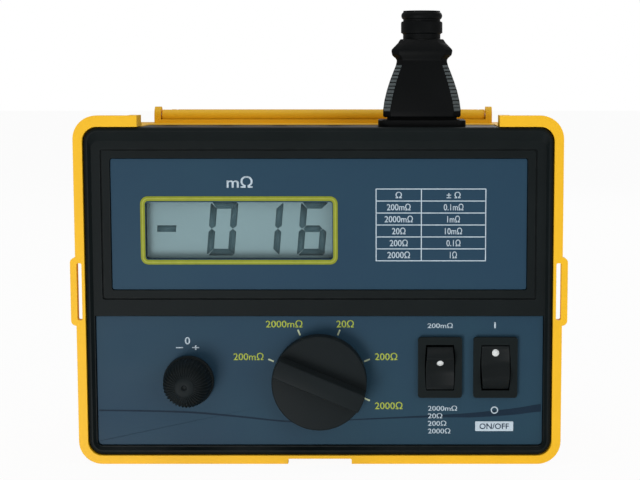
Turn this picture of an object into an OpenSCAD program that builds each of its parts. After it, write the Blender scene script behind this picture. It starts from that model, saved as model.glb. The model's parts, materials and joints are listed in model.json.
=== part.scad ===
// Bench milliohm meter in a moulded carrying case, standing on its lower edge with the lid folded
// behind it and the mains connector plugged in at the top. Millimetres, +Z up, the face towards -Y.
// The origin lies on the surface that the case stands on, under the middle of the case.

/* [Case] */
// Width over the flange round the front of the case
case_w = 166.4; // [160:0.1:190]
// Height over the flange round the front of the case
case_h = 120; // [118:0.5:140]
// Depth of the case without its lid
case_d = 64; // [60:0.5:80]
// Radius of the flange's corners
case_r = 8; // [7:0.5:10]
// Thickness of the flange, front to back
flange_d = 3.5; // [2.5:0.1:5]
// How far the flange stands out at the sides
flange_side = 1.8; // [1.2:0.1:2.4]
// How far the flange stands out at the top
flange_top = 2.5; // [2:0.1:3]
// How far the flange stands out at the bottom
flange_bottom = 1.6; // [1.2:0.1:2.4]
// Wall thickness round the front frame
rim_wall = 1.3; // [1:0.1:1.6]
// Wall thickness behind the front frame
body_wall = 2; // [1.8:0.1:2.6]
// Thickness of the back wall
back_wall = 2; // [1.6:0.1:3]
// Radius of the edges round the back
back_r = 3; // [2:0.5:4]
// Distance of the cut in the top from the flange's sides
notch_side = 21.8; // [20:0.1:24]
// Depth of the cut in the top of the case, from the front
notch_d = 30.3; // [30:0.1:34]
// Depth of the thick cheeks at both ends of the cut
cheek_d = 11; // [8:0.5:12]
// Width of the pad under the back of the case
foot_w = 60; // [40:1:100]

/* [Strap lugs] */
// Height of a strap lug
lug_len = 23.5; // [20:0.5:30]
// How far a lug reaches past the flange
lug_reach = 1.8; // [1.5:0.1:3]
// Width of the strap slot
lug_slot_w = 1.7; // [1.4:0.1:2.2]
// Height of the strap slot
lug_slot_len = 19.6; // [16:0.1:24]
// Width of the bar outside the slot
lug_bar = 2.2; // [1.8:0.1:2.6]

/* [Hinge and lid] */
// Outer depth of the lid
lid_d = 30; // [26:0.5:36]
// Wall thickness of the lid
lid_wall = 1.8; // [1.4:0.1:2.4]
// Radius of the hinge barrels
barrel_r = 2.3; // [2:0.05:2.5]
// Radius of the steel hinge rods
rod_r = 1; // [0.8:0.05:1.2]
// Thickness of the hinge link
link_t = 1.8; // [1.4:0.1:2.2]
// Tilt of the folded link, back edge up
link_tilt = -1; // [-1.4:0.1:-0.6]
// Radius of the hinge ears
ear_r = 3.4; // [3.2:0.1:3.6]
// Height of the rail in front of the hinge
rail_h = 1.4; // [1:0.1:1.8]
// Width of the lid's latch
latch_w = 21; // [16:0.5:24]

/* [Front frame] */
// Depth of the frame's skirt
frame_depth = 10.8; // [9:0.1:12]
// Width of the rounded lip round the frame
lip_w = 1.5; // [1.2:0.1:2]
// Width of the slope inside the lip along the top
slope_top = 3.2; // [2.5:0.1:3.4]
// Width of the slope inside the lip at the sides
slope_side = 0.9; // [0.6:0.1:1.2]
// Thickness of the frame's plate behind the panels
plate_t = 2.4; // [2:0.1:2.6]

/* [Panels] */
// Margin of the front frame beside the upper panel
upper_side = 8.8; // [8:0.1:10]
// Margin of the front frame over the upper panel
upper_drop = 10.7; // [10.2:0.1:11.5]
// Distance between the two panels
panel_split = 9.2; // [8:0.1:10]
// Margin of the front frame beside the lower panel
lower_side = 2.9; // [2.7:0.1:3.6]
// Margin of the front frame under the lower panel
lower_rise = 3; // [2.8:0.1:3.4]
// Thickness of both panels
panel_t = 0.8; // [0.5:0.1:1]

/* [Display] */
// Distance of the window from the upper panel's left edge
display_side = 11.75; // [11:0.05:13]
// How far the window's middle lies under the upper panel's middle
display_drop = 2.1; // [1.5:0.1:2.5]
// Width of the display's window
window_w = 63.9; // [60:0.1:65]
// Height of the display's window
window_h = 19.4; // [18:0.1:20]
// Width of the display glass
glass_w = 70; // [68:0.5:71]
// Height of the display glass
glass_h = 36; // [34:0.5:37]

/* [Range knob] */
// Diameter of the range knob
knob_dia = 32.6; // [30:0.1:34]
// Height of the range knob above the panel
knob_h = 14; // [12:0.5:16]
// Height of the knob's round base
knob_base_h = 7.5; // [6:0.5:9]
// Width of the knob's grip at its front
grip_w = 6.6; // [5:0.1:8]
// Angle of the grip's pointing end in the photographed range
grip_angle = -22.5; // [-22.5:45:157.5]

/* [Zero knob] */
// Distance of the zero knob's middle from the lower panel's left edge
zero_side = 31.8; // [31:0.1:33]
// Diameter of the zero knob
zero_dia = 17.5; // [16:0.1:19]
// Height of the zero knob above the panel
zero_h = 16; // [14:0.5:18]
// Number of grooves round the zero knob
zero_grooves = 36; // [24:4:48]

/* [Rocker switches] */
// Distance of the power rocker's middle from the lower panel's right edge
rocker_side = 16.4; // [16:0.1:17]
// Distance between the middles of the two rockers
rocker_pitch = 19.1; // [18:0.1:20]
// Height of both rockers above the lower panel's middle
rocker_rise = 4.8; // [4:0.1:5.5]
// Width of a rocker's bezel
bezel_w = 15.2; // [14.6:0.1:15.4]
// Height of a rocker's bezel
bezel_h = 21.1; // [20.6:0.1:21.6]
// Full tilt of a rocker, from one end to the other
rocker_travel = 31; // [24:1:31]

/* [Test sockets] */
// Bore of a socket, for a 4 mm test plug
socket_bore = 4; // [3.9:0.05:4.1]
// Distance of the sockets behind the front of the case
socket_y = 19.2; // [19:0.1:20]
// Depth of a socket's bore
socket_depth = 17; // [15:0.5:18]

/* [Mains inlet] */
// Distance of the inlet's middle from the right end of the cut in the top
inlet_side = 26.2; // [25:0.1:27]
// Distance of the inlet behind the front of the case
inlet_y = 16.8; // [16.7:0.1:17.4]
// Width of the inlet's flange
inlet_flange_w = 30; // [29.6:0.1:31]
// Depth of the inlet's flange
inlet_flange_d = 24; // [23.6:0.1:24.4]
// Thickness of the inlet's flange
inlet_flange_t = 2.2; // [1.8:0.1:2.3]
// Width of the inlet's cavity
cavity_w = 24.4; // [24.2:0.1:24.6]
// Width of the cavity, front to back
cavity_d = 16.9; // [16.7:0.1:17.1]
// Depth of the cavity
cavity_h = 17.5; // [17:0.1:18]

/* [Mains connector] */
// Height of the connector's top over the inlet's flange
connector_h = 37.3; // [35:0.1:40]
// Half the connector's width at its base
connector_half_w = 13.5; // [13:0.1:14]
// Half the connector's thickness at its base
connector_half_d = 10.2; // [10:0.1:10.6]
// Radius of the clamp round the cord entry
clamp_r = 7.1; // [6.8:0.1:7.4]
// Radius of the cord entry
cord_entry_r = 3.5; // [3:0.1:4]

/* [Boards] */
// Thickness of the boards
board_t = 1.6; // [1.2:0.1:2]
// Distance of the main board behind the front of the case
board_y = 26; // [25.8:0.1:27]

/* [Hidden] */
$fn = 48;

// Overrun of every cut past the face that it opens
cut = 1;
// Clearance between pieces that are simply put together
fit_gap = 0.2;
// Running clearance between a shaft and its bore
run_gap = 0.05;
// Slice that marks one end of a hull
skin = 0.01;

// The case, counted from the middle of its front
front_y = -case_d / 2;
mid_z = case_h / 2;
wall_x = case_w / 2 - flange_side;
wall_top = mid_z - flange_top;
wall_low = -mid_z + flange_bottom;
seat_y = frame_depth + fit_gap;
rim_x = wall_x - rim_wall;
rim_top = wall_top - rim_wall;
rim_low = wall_low + rim_wall;
wall_r = case_r - flange_side;
body_r = wall_r - rim_wall;
step_y = seat_y + rim_wall;
room_x = rim_x - body_wall;
room_top = rim_top - body_wall;
room_low = rim_low + body_wall;
notch_w = case_w - 2 * notch_side;
lug_slot_r = 0.5;
recess_gap = 0.5;
recess_h = 1.8;

// Pillars that the case screws pass through
pillar_r = 4;
pillar_gap = 0.5;
pillar_x = room_x - pillar_r - pillar_gap;
pillar_z = room_top - pillar_r + pillar_gap / 2;
pillar_bore = 2.7;
pillar_y = 20;
pillar_seat = 2;
case_screw_r = 1.45;
case_screw_len = 11;
head_r = 2.4;
head_t = 2;

// Hinge lines: the link turns on the case's line, the lid on the link's far line
lid_gap = 0.3;
close_gap = 0.3;
axis_z = rim_top + barrel_r + lid_gap;
axis_y = (case_d + lid_gap + lid_d - close_gap * cos(link_tilt)) / (1 + cos(link_tilt));
link_len = axis_y + close_gap;
lid_axis_y = axis_y + link_len * cos(link_tilt);
lid_lift = link_len * sin(link_tilt);
ear_w = 2.3;
ear_out = notch_w / 2 - fit_gap;
ear_in = ear_out - ear_w;
barrel_x = ear_in - lid_gap;
wing_gap = ear_r + link_t;
link_low = -link_t / 2;

// Lid: it nests inside the case's front edge when it is folded over the panels
lid_x = rim_x - 3 * fit_gap;
lid_top = rim_top - 2 * fit_gap;
lid_low = rim_low + 2 * fit_gap;
lid_r = body_r - 3 * fit_gap;

// Front frame, from the front inwards
frame_x = rim_x - fit_gap;
frame_top = rim_top - fit_gap;
frame_low = rim_low + fit_gap;
frame_r = 5;
lip_y = 0.6;
lip_round = 1.1;
band_y = 2.4;
inset_y = 2.7;
inset_margin = 3.4;
groove_w = 0.6;
groove_y = 3.2;
panel_y = 3.3;
panel_back = panel_y + panel_t;
plate_back = panel_back + plate_t;
skirt_t = 2;
deck_t = 2.4;
deck_end = notch_d - recess_gap;
boss_r = 3.5;
boss_bore = case_screw_r + run_gap;
panel_r = 1.5;
upper_r = 0.8;

// Panels: the upper one's share of the height that both fill together
upper_share = 0.499;
panels_h = frame_top - upper_drop - panel_split - (frame_low + lower_rise);
upper_w = 2 * (frame_x - upper_side);
upper_h = upper_share * panels_h;
upper_z = frame_top - upper_drop - upper_h / 2;
lower_w = 2 * (frame_x - lower_side);
lower_h = panels_h - upper_h;
lower_z = -(frame_low + lower_rise) - lower_h / 2;

// Display, from its window inwards
display_x = upper_w / 2 - display_side - window_w / 2;
display_z = upper_z - display_drop;
pane_edge = 3.1;
pane_w = window_w + 2 * pane_edge;
pane_h = window_h + 2 * pane_edge;
pane_t = 1.2;
sheet_t = 1.2;
holder_lip = 1;
holder_wall = 2;
glass_y = plate_back + holder_lip + fit_gap;
glass_t = 2.5;
strip_t = 2.1;
strip_h = 1.8;
display_board_y = glass_y + glass_t + strip_t + fit_gap;
display_edge = 4.5;
display_foot = 6;
display_board_w = glass_w + 2 * display_edge;
display_board_h = glass_h + 2 * display_foot;

// Rotary parts on the lower panel
knob_rise = 0.15;
knob_z = knob_rise - lower_z;
zero_x = lower_w / 2 - zero_side;
knob_gap = 0.5;
knob_wall = 2;
shaft_r = 3;
bushing_r = 4.5;
nut_r = 7;
nut_t = 2;
thread_over = 0.5;
bushing_front = panel_y - nut_t - thread_over;
switch_r = 13.5;
switch_len = 14;
pot_r = 8.2;
pot_len = 10;
shaft_in = 6;
shaft_top_gap = 2.5;
grub_r = 1.5;
grub_y = nut_t + 2 * knob_gap + grub_r;

// Rocker switches: the pivot lies behind the bezel
rocker_x2 = lower_w / 2 - rocker_side;
rocker_x1 = rocker_x2 - rocker_pitch;
rocker_z = lower_z - rocker_rise;
bezel_t = 1.8;
lip_t = 0.6;
pivot_depth = 5;
face_depth = 5.2;
corner_reach = 7.35;
open_half = 7.95;
rocker_half_w = 4.45;
rocker_bow = 0.45;
rocker_gap = 0.35;
rocker_body_w = 12.8;
rocker_body_h = 19.2;
rocker_body_d = 18.5;
rocker_room_w = 11;
rocker_room_h = 18.2;
rocker_room_d = 9.2;
stub_r = 1.2;
stub_in = 0.6;
spade_w = 4.8;
spade_t = 0.8;
spade_len = 7.5;

// Test sockets, spread over the deck between its left end and the inlet
inlet_x = notch_w / 2 - inlet_side;
socket_room = inlet_x - inlet_flange_w / 2 + notch_w / 2;
socket_first_share = 0.1152;
socket_pitch_share = 0.2328;
collar_r = 5.5;
collar_t = 1.2;
sleeve_r = 4.6;
contact_wall = 0.8;
socket_len = 20;
tail_r = 1;
tail_len = 5;

// Mains inlet and connector
inlet_body_w = 27.2;
inlet_body_d = 19.8;
inlet_body_h = 22;
inlet_r = 3.5;
key_cut = 4;
blade_w = 4;
blade_t = 2;
blade_pitch = 7;
blade_offset = 2;
blade_short = 1.5;
nose_gap = 0.25;
nose_len = 16.5;
shell_wall = 2;
grip_gap = 1;

// Boards and what stands on them
hole_inset = 4;
spacer_r = 2.9;
board_gap = 3.5;
board_under = 9.1;
board_left = board_gap - room_x;
board_right = rocker_x1 - spade_w / 2 - hole_inset;
board_low = room_low + board_under;
board_top = frame_top - inlet_body_h - spade_len + hole_inset - spacer_r - 3 * fit_gap;
board_w = board_right - board_left;
board_h = board_top - board_low;
peg_r = 1.2;
peg_len = 4;
board_screw_len = 5;
board_screw_head = 2.4;

// The case's own frame: the middle of its front, X right, Y inwards, Z up
module face() translate([0, front_y, mid_z]) children();

// Outline of a rounded rectangle, cornered at a and b
module rounded(a, b, r) {
  translate(a + [r, 0]) square(b - a - [2 * r, 0]);
  translate(a + [0, r]) square(b - a - [0, 2 * r]);
  for (x = [a[0] + r, b[0] - r], y = [a[1] + r, b[1] - r]) translate([x, y]) circle(r);
}

// Lays an X-Z outline as a plate from y0 to y1
module plate(y0, y1)
  translate([0, y1, 0]) rotate([90, 0, 0]) linear_extrude(y1 - y0) children();

// Rounded block, its outline seen from the front
module block(a, b, r, y0, y1) plate(y0, y1) rounded(a, b, r);

// Block from corner a to corner b
module span(a, b) translate(a) cube(b - a);

// Cylinder along Y from y0 to y1
module rod_y(r, y0, y1) translate([0, y0, 0]) rotate([-90, 0, 0]) cylinder(r = r, h = y1 - y0);

// Cylinder along X, centred
module rod_x(r, len) rotate([0, 90, 0]) cylinder(r = r, h = len, center = true);

// Section of a tray: open at 0, both far corners rounded
module tray_side(x0, x1, depth, r) {
  translate([x0, 0]) square([x1 - x0, depth - r]);
  translate([x0 + r, 0]) square([x1 - x0 - 2 * r, depth]);
  for (x = [x0 + r, x1 - r]) translate([x, depth - r]) circle(r);
}

// Moulded tray, open towards -Y, its closed end's edges rounded all round
module tray(x, low, top, corner_r, depth, edge_r) intersection() {
  block([-x, low], [x, top], corner_r, 0, depth);
  translate([0, 0, low - cut]) linear_extrude(top - low + 2 * cut)
    tray_side(-x, x, depth, edge_r);
  rotate([0, -90, 0]) linear_extrude(2 * x + 2 * cut, center = true)
    tray_side(low, top, depth, edge_r);
}

// Hinge ear on a wall at height base, its eye on the axis
module ear(base) {
  rod_x(ear_r, ear_w);
  span([-ear_w / 2, -ear_r, base - axis_z], [ear_w / 2, ear_r, 0]);
}

// Place on the main board, given as shares of its width and height
function on_board(share) = [board_left + share[0] * board_w, board_low + share[1] * board_h];

module at_pillars(y) for (x = [-pillar_x, pillar_x], z = [-pillar_z, pillar_z])
  translate([x, y, z]) children();

// Strap lugs stand out of the flange at half height
module lugs() {
  lug_x = case_w / 2 + lug_reach;
  difference() {
    block([-lug_x, -lug_len / 2], [lug_x, lug_len / 2], lug_reach, 0, flange_d);
    span([-wall_x, -cut, -lug_len], [wall_x, flange_d + cut, lug_len]);
  }
}

module lug_slots() for (side = [-1, 1]) {
  slot_x = case_w / 2 + lug_reach - lug_bar - lug_slot_w / 2;
  block([side * slot_x - lug_slot_w / 2, -lug_slot_len / 2],
        [side * slot_x + lug_slot_w / 2, lug_slot_len / 2], lug_slot_r, -cut, seat_y);
}

// Yellow moulded case
module case_shell() color([0.94, 0.7, 0.15]) face() {
  difference() {
    union() {
      block([-wall_x, wall_low], [wall_x, wall_top], wall_r, 0, step_y);
      tray(rim_x, rim_low, rim_top, body_r, case_d, back_r);
      block([-case_w / 2, -mid_z], [case_w / 2, mid_z], case_r, 0, flange_d);
      lugs();
      pad();
    }
    block([-rim_x, rim_low], [rim_x, rim_top], body_r, -cut, seat_y);
    block([-room_x, room_low], [room_x, room_top], body_r - body_wall, 0, case_d - back_wall);
    span([-notch_w / 2, -cut, room_top - body_wall], [notch_w / 2, notch_d, mid_z + cut]);
    block([-latch_w / 2 - recess_gap, -mid_z - recess_h], [latch_w / 2 + recess_gap, -mid_z + recess_h],
          recess_gap, -cut, flange_d + cut);
    lug_slots();
    at_pillars(0) rod_y(pillar_bore, pillar_y + pillar_seat, case_d + cut);
  }
  cheeks();
  for (side = [-1, 1]) translate([side * (ear_in + ear_w / 2), axis_y, axis_z])
    difference() {
      ear(rim_top - body_wall / 2);
      rod_x(rod_r + run_gap, ear_w + 2 * cut);
    }
  span([-ear_in - skin, axis_y - ear_r, rim_top - body_wall / 2],
       [ear_in + skin, axis_y - barrel_r - lid_gap, rim_top + rail_h]);
  at_pillars(0) difference() {
    rod_y(pillar_r, pillar_y, case_d - back_wall);
    rod_y(pillar_bore, pillar_y + pillar_seat, case_d);
    rod_y(case_screw_r + fit_gap, pillar_y - cut, case_d);
  }
}

// Low pad under the back half, as deep as the flange reaches down
module pad() translate([0, 0, -mid_z]) linear_extrude(rim_low + mid_z + body_wall / 2)
  rounded([-foot_w / 2, case_d / 2 - 2 * back_r], [foot_w / 2, case_d - 2 * back_r], back_r);

// Thick cheeks at both ends of the cut in the top
module cheeks() for (side = [-1, 1]) {
  x = side * (notch_w / 2 + flange_side);
  span([x - flange_side, flange_d, rim_top], [x + flange_side, cheek_d, mid_z]);
}

// Black front frame: lip, stepped band, plate behind the panels, and the deck in the top cut
module front_frame() color([0.1, 0.11, 0.11]) face() difference() {
  union() {
    difference() {
      union() {
        hull() for (a = [0, 45, 90]) {
          inset = lip_round * (1 - sin(a));
          block([-frame_x + inset, frame_low + inset], [frame_x - inset, frame_top - inset],
                frame_r - inset, lip_y + lip_round * (1 - cos(a)), lip_y + lip_round + skin);
        }
        block([-frame_x, frame_low], [frame_x, frame_top], frame_r, lip_y + lip_round, frame_depth);
      }
      frame_bowl();
      block([-frame_x + skirt_t, frame_low + skirt_t], [frame_x - skirt_t, frame_top - skirt_t],
            frame_r - skirt_t, plate_back, frame_depth + cut);
    }
    span([-notch_w / 2 + recess_gap, frame_depth - cut, frame_top - deck_t],
         [notch_w / 2 - recess_gap, deck_end, frame_top]);
    at_pillars(0) rod_y(boss_r, plate_back - cut / 2, pillar_y - fit_gap);
    at_board_holes() rod_y(peg_r, plate_back - cut / 2, plate_back + peg_len);
  }
  frame_openings();
}

// What is sunk into the front of the frame
module frame_bowl() {
  slope_low = slope_side;
  inner_x = frame_x - lip_w;
  hull() {
    block([-inner_x, frame_low + lip_w], [inner_x, frame_top - lip_w], frame_r - lip_w, -cut, lip_y);
    block([-inner_x + slope_side, frame_low + lip_w + slope_low],
          [inner_x - slope_side, frame_top - lip_w - slope_top], frame_r - lip_w - slope_side,
          band_y - skin, band_y);
  }
  upper_field(inset_margin, inset_y);
  difference() {
    upper_field(inset_margin, groove_y);
    upper_field(inset_margin - groove_w, groove_y + cut);
  }
  block([-upper_w / 2 - fit_gap, upper_z - upper_h / 2 - fit_gap],
        [upper_w / 2 + fit_gap, upper_z + upper_h / 2 + fit_gap], upper_r, 0, panel_back);
  block([-lower_w / 2 - fit_gap, -lower_z - lower_h / 2 - fit_gap],
        [lower_w / 2 + fit_gap, -lower_z + lower_h / 2 + fit_gap], panel_r, 0, panel_back);
  block([-lower_w / 2 - fit_gap, -lower_z], [lower_w / 2 + fit_gap, -lower_z + lower_h / 2 + fit_gap],
        fit_gap, 0, panel_back);
}

// Field round the upper panel, sunk to depth
module upper_field(margin, depth)
  block([-upper_w / 2 - margin, upper_z - upper_h / 2 - margin],
        [upper_w / 2 + margin, upper_z + upper_h / 2 + margin], upper_r, 0, depth);

// Holes through the frame's plate and deck
module frame_openings() {
  translate([-display_x, 0, display_z]) {
    block([-pane_w / 2 - fit_gap, -pane_h / 2 - fit_gap], [pane_w / 2 + fit_gap, pane_h / 2 + fit_gap],
          upper_r, 0, panel_back + pane_t);
    block([-window_w / 2, -window_h / 2], [window_w / 2, window_h / 2], upper_r, 0, plate_back + cut);
  }
  for (x = [0, -zero_x]) translate([x, 0, knob_z]) rod_y(bushing_r + fit_gap, 0, plate_back + cut);
  at_rockers() block(-[rocker_body_w, rocker_body_h] / 2 - [fit_gap, fit_gap],
                     [rocker_body_w, rocker_body_h] / 2 + [fit_gap, fit_gap], fit_gap,
                     0, plate_back + cut);
  at_pillars(0) rod_y(boss_bore, pillar_y - case_screw_len, pillar_y);
  at_sockets() {
    translate([0, 0, -deck_t - cut]) cylinder(r = sleeve_r + fit_gap, h = deck_t + 2 * cut);
    translate([0, 0, -collar_t]) cylinder(r = collar_r + fit_gap, h = collar_t + cut);
  }
  at_inlet() span([-inlet_body_w / 2 - fit_gap, -inlet_body_d / 2 - fit_gap, -deck_t - cut],
                  [inlet_body_w / 2 + fit_gap, inlet_body_d / 2 + fit_gap, cut]);
}

module at_rockers() for (x = [rocker_x1, rocker_x2]) translate([x, 0, -rocker_z]) children();

module at_sockets() for (i = [0 : 3])
  translate([-notch_w / 2 + (socket_first_share + i * socket_pitch_share) * socket_room, socket_y, frame_top])
    children();

module at_inlet() translate([inlet_x, inlet_y, frame_top]) children();

module at_board_holes() for (x = [board_left + hole_inset, board_right - hole_inset],
                             z = [board_low + hole_inset, board_top - hole_inset])
  translate([x, 0, z]) children();

// Blue upper panel with the display's window
module upper_panel() color([0.19, 0.28, 0.37]) face() plate(panel_y, panel_back) difference() {
  rounded([-upper_w / 2, upper_z - upper_h / 2], [upper_w / 2, upper_z + upper_h / 2], upper_r);
  translate([-display_x, display_z]) rounded([-window_w, -window_h] / 2, [window_w, window_h] / 2, upper_r);
}

// Blue lower panel with the holes for the knobs and rockers
module lower_panel() color([0.19, 0.28, 0.37]) face() plate(panel_y, panel_back) difference() {
  union() {
    rounded([-lower_w / 2, -lower_z - lower_h / 2], [lower_w / 2, -lower_z + lower_h / 2], panel_r);
    translate([-lower_w / 2, -lower_z]) square([lower_w, lower_h / 2]);
  }
  for (x = [0, -zero_x]) translate([x, knob_z]) circle(bushing_r + fit_gap);
  for (x = [rocker_x1, rocker_x2]) translate([x, -rocker_z])
    square([rocker_body_w + 2 * fit_gap, rocker_body_h + 2 * fit_gap], center = true);
}

// Steel rod through the case's ears and the link's near barrel
module case_hinge_rod() color("silver") face()
  translate([0, axis_y, axis_z]) rod_x(rod_r, 2 * ear_out);

// Screw with a round head, its seat at 0 and its shank towards -Y
module screw(shank_r, len, r, t) difference() {
  union() {
    rod_y(shank_r, -len, 0);
    rod_y(r, 0, t);
  }
  for (turn = [0, 90]) rotate([0, turn, 0])
    span([-r / 2, t / 2, -r / 8], [r / 2, t + cut, r / 8]);
}

module case_screws() color("silver") face() at_pillars(pillar_y + pillar_seat)
  screw(case_screw_r, case_screw_len, head_r, head_t);

module at_display() translate([-display_x, 0, display_z]) children();

module display_window() color([0.8, 0.85, 0.8, 0.4]) face() at_display()
  block([-pane_w, -pane_h] / 2, [pane_w, pane_h] / 2, upper_r, panel_back, panel_back + pane_t);

// Two bonded sheets, the back one shorter
module display_glass() color([0.53, 0.6, 0.55]) face() at_display() {
  span([-glass_w / 2, glass_y, -glass_h / 2 + holder_wall],
       [glass_w / 2, glass_y + sheet_t, glass_h / 2 - holder_wall]);
  span([-glass_w / 2, glass_y + sheet_t, -glass_h / 2], [glass_w / 2, glass_y + glass_t, glass_h / 2]);
}

// Clip-on frame that holds the glass over its board
module display_holder() color([0.15, 0.15, 0.15]) face() at_display() {
  out_w = glass_w + 2 * holder_wall + 2 * fit_gap;
  out_h = glass_h + 2 * holder_wall + 2 * fit_gap;
  difference() {
    block([-out_w, -out_h] / 2, [out_w, out_h] / 2, upper_r, plate_back, display_board_y);
    block([-window_w, -window_h] / 2 - [holder_lip, holder_lip],
          [window_w, window_h] / 2 + [holder_lip, holder_lip], upper_r, 0, glass_y);
    span([-glass_w / 2 - fit_gap, glass_y - fit_gap, -glass_h / 2 - fit_gap],
         [glass_w / 2 + fit_gap, display_board_y + cut, glass_h / 2 + fit_gap]);
  }
}

module contact_strips() color([0.85, 0.7, 0.75]) face() at_display() for (side = [-1, 1])
  translate([0, 0, side * (glass_h / 2 - strip_h)])
    span([-glass_w / 2 + strip_h, glass_y + glass_t, -strip_h / 2],
         [glass_w / 2 - strip_h, display_board_y, strip_h / 2]);

module display_board() color([0.1, 0.35, 0.2]) face() at_display() difference() {
  span([-display_board_w / 2, display_board_y, -display_board_h / 2],
       [display_board_w / 2, display_board_y + board_t, display_board_h / 2]);
  for (x = [-1, 1], z = [-1, 1])
    translate([x * (display_board_w / 2 - peg_r * 2), 0, z * (display_board_h / 2 - peg_r * 2)])
      rod_y(peg_r, display_board_y - cut, display_board_y + board_t + cut);
}

module main_board() color([0.1, 0.35, 0.2]) face() difference() {
  span([board_left, board_y, board_low], [board_right, board_y + board_t, board_top]);
  at_board_holes() rod_y(peg_r + fit_gap, board_y - cut, board_y + board_t + cut);
}

module board_spacers() color([0.8, 0.7, 0.4]) face() at_board_holes() difference() {
  translate([0, plate_back, 0]) rotate([-90, 0, 0])
    cylinder(r = spacer_r, h = board_y - plate_back, $fn = 6);
  rod_y(peg_r + run_gap, 0, board_y + cut);
}

module board_screws() color("silver") face() at_board_holes() translate([0, board_y + board_t, 0])
  screw(peg_r, board_t + board_screw_len, board_screw_head, board_t);

// Transformer on the back of the main board
coil_share = [0.42, 0.767];
core_stand = 2;
core_back = 4.4;
core_w = 35;
core_d = case_d - back_wall - core_back - board_y - board_t - core_stand;
core_h = 14;
leg_w = 5.8;
yoke_d = 5;
window_gap = 0.2;
coil_h = 25;

module at_transformer()
  translate([on_board(coil_share)[0], board_y + board_t + core_stand, on_board(coil_share)[1]]) children();

module transformer_core() color([0.45, 0.45, 0.48]) face() at_transformer() difference() {
  span([-core_w / 2, 0, -core_h / 2], [core_w / 2, core_d, core_h / 2]);
  slot_half = core_w / 4 - leg_w;
  for (side = [-1, 1]) translate([side * (core_w / 2 - leg_w - slot_half), 0, 0])
    span([-slot_half, yoke_d, -core_h], [slot_half, core_d - yoke_d, core_h]);
}

module transformer_coil() color([0.7, 0.45, 0.2]) face() at_transformer() {
  coil_half = core_w / 2 - leg_w - window_gap;
  difference() {
    span([-coil_half, yoke_d + window_gap, -coil_h / 2],
         [coil_half, core_d - yoke_d - window_gap, coil_h / 2]);
    span([-leg_w - window_gap, 0, -core_h / 2 - window_gap],
         [leg_w + window_gap, core_d, core_h / 2 + window_gap]);
  }
  for (x = [-1, 0, 1], z = [-1, 1])
    translate([x * coil_half * 0.8, 0, z * (coil_h / 2 - tail_r)])
      rod_y(tail_r / 2, -core_stand, yoke_d + tail_r);
}

// Measuring chip with its two rows of pins, on the back of the main board
chip_share = [0.346, 0.219];
chip_len = 52;
chip_w = 13.6;
chip_t = 3.8;
chip_stand = 0.5;
pin_pitch = 2.54;
pin_w = 0.5;
pin_rows = 20;

module converter_chip() color([0.12, 0.12, 0.13]) face()
  translate([on_board(chip_share)[0], board_y + board_t, on_board(chip_share)[1]]) {
    difference() {
      span([-chip_len / 2, chip_stand, -chip_w / 2], [chip_len / 2, chip_stand + chip_t, chip_w / 2]);
      translate([-chip_len / 2, 0, 0]) rod_y(tail_r, chip_stand + chip_t / 2, chip_t + cut);
    }
    for (i = [0 : pin_rows - 1], side = [-1, 1])
      translate([(i - (pin_rows - 1) / 2) * pin_pitch, 0, side * chip_w / 2])
        span([-pin_w / 2, 0, -pin_w], [pin_w / 2, chip_stand + chip_t / 2, pin_w]);
  }

// Capacitors stand on the back of the main board
cap_shares = [[0.103, 0.685], [0.103, 0.493]];
cap_r = 5;
cap_len = 13;

module smoothing_capacitors() color([0.15, 0.2, 0.4]) face() for (share = cap_shares)
  translate([on_board(share)[0], board_y + board_t, on_board(share)[1]]) difference() {
    rod_y(cap_r, 0, cap_len);
    for (turn = [0, 90]) rotate([0, turn, 0])
      span([-cap_r / 2, cap_len - pin_w / 2, -pin_w / 4], [cap_r / 2, cap_len + cut, pin_w / 4]);
  }

// Precision resistors, one for each range
resistor_share = [0.832, 0.164];
resistor_pitch = 6;
resistor_r = 1.7;
resistor_len = 9;
lead_r = 0.4;
lead_reach = 3;

module range_resistors() color([0.75, 0.65, 0.5]) face() for (i = [0 : 4])
  translate([on_board(resistor_share)[0], board_y + board_t + resistor_r + lead_r,
             on_board(resistor_share)[1] + i * resistor_pitch]) {
    rod_x(resistor_r, resistor_len);
    rod_x(lead_r, resistor_len + 2 * lead_reach);
    for (side = [-1, 1]) translate([side * (resistor_len / 2 + lead_reach), 0, 0])
      rod_y(lead_r, -resistor_r - lead_r, lead_r);
  }

// Glass fuse in two clips
fuse_share = [0.813, 0.822];
fuse_x = on_board(fuse_share)[0];
fuse_z = on_board(fuse_share)[1];
fuse_r = 2.6;
fuse_len = 20;
fuse_cap = 5;
clip_t = 0.4;
fuse_y = board_y + board_t + fuse_r + 2 * clip_t;

module fuse() color([0.8, 0.82, 0.8]) face() translate([fuse_x, fuse_y, fuse_z]) {
  rod_x(fuse_r - clip_t, fuse_len);
  for (side = [-1, 1]) translate([side * (fuse_len - fuse_cap) / 2, 0, 0]) rod_x(fuse_r, fuse_cap);
}

module fuse_clips() color([0.75, 0.75, 0.78]) face() for (side = [-1, 1])
  translate([fuse_x + side * (fuse_len - fuse_cap) / 2, fuse_y, fuse_z]) difference() {
    span([-fuse_cap / 2 + clip_t, -fuse_r - 2 * clip_t, -fuse_r - 2 * clip_t],
         [fuse_cap / 2 - clip_t, fuse_r, fuse_r + 2 * clip_t]);
    rod_x(fuse_r + run_gap, fuse_cap + cut);
    span([-fuse_cap, 0, -fuse_r + clip_t], [fuse_cap, fuse_r + cut, fuse_r - clip_t]);
  }

module at_range() translate([0, 0, knob_z]) children();

module at_zero() translate([-zero_x, 0, knob_z]) children();

// Rotary part behind the panel: can, threaded bushing through the plate, blind bore for the shaft
module rotary_body(r, len) difference() {
  union() {
    rod_y(r, plate_back, plate_back + len);
    rod_y(bushing_r, bushing_front, plate_back + cut);
  }
  rod_y(shaft_r + run_gap, bushing_front - cut, plate_back + shaft_in);
}

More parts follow.
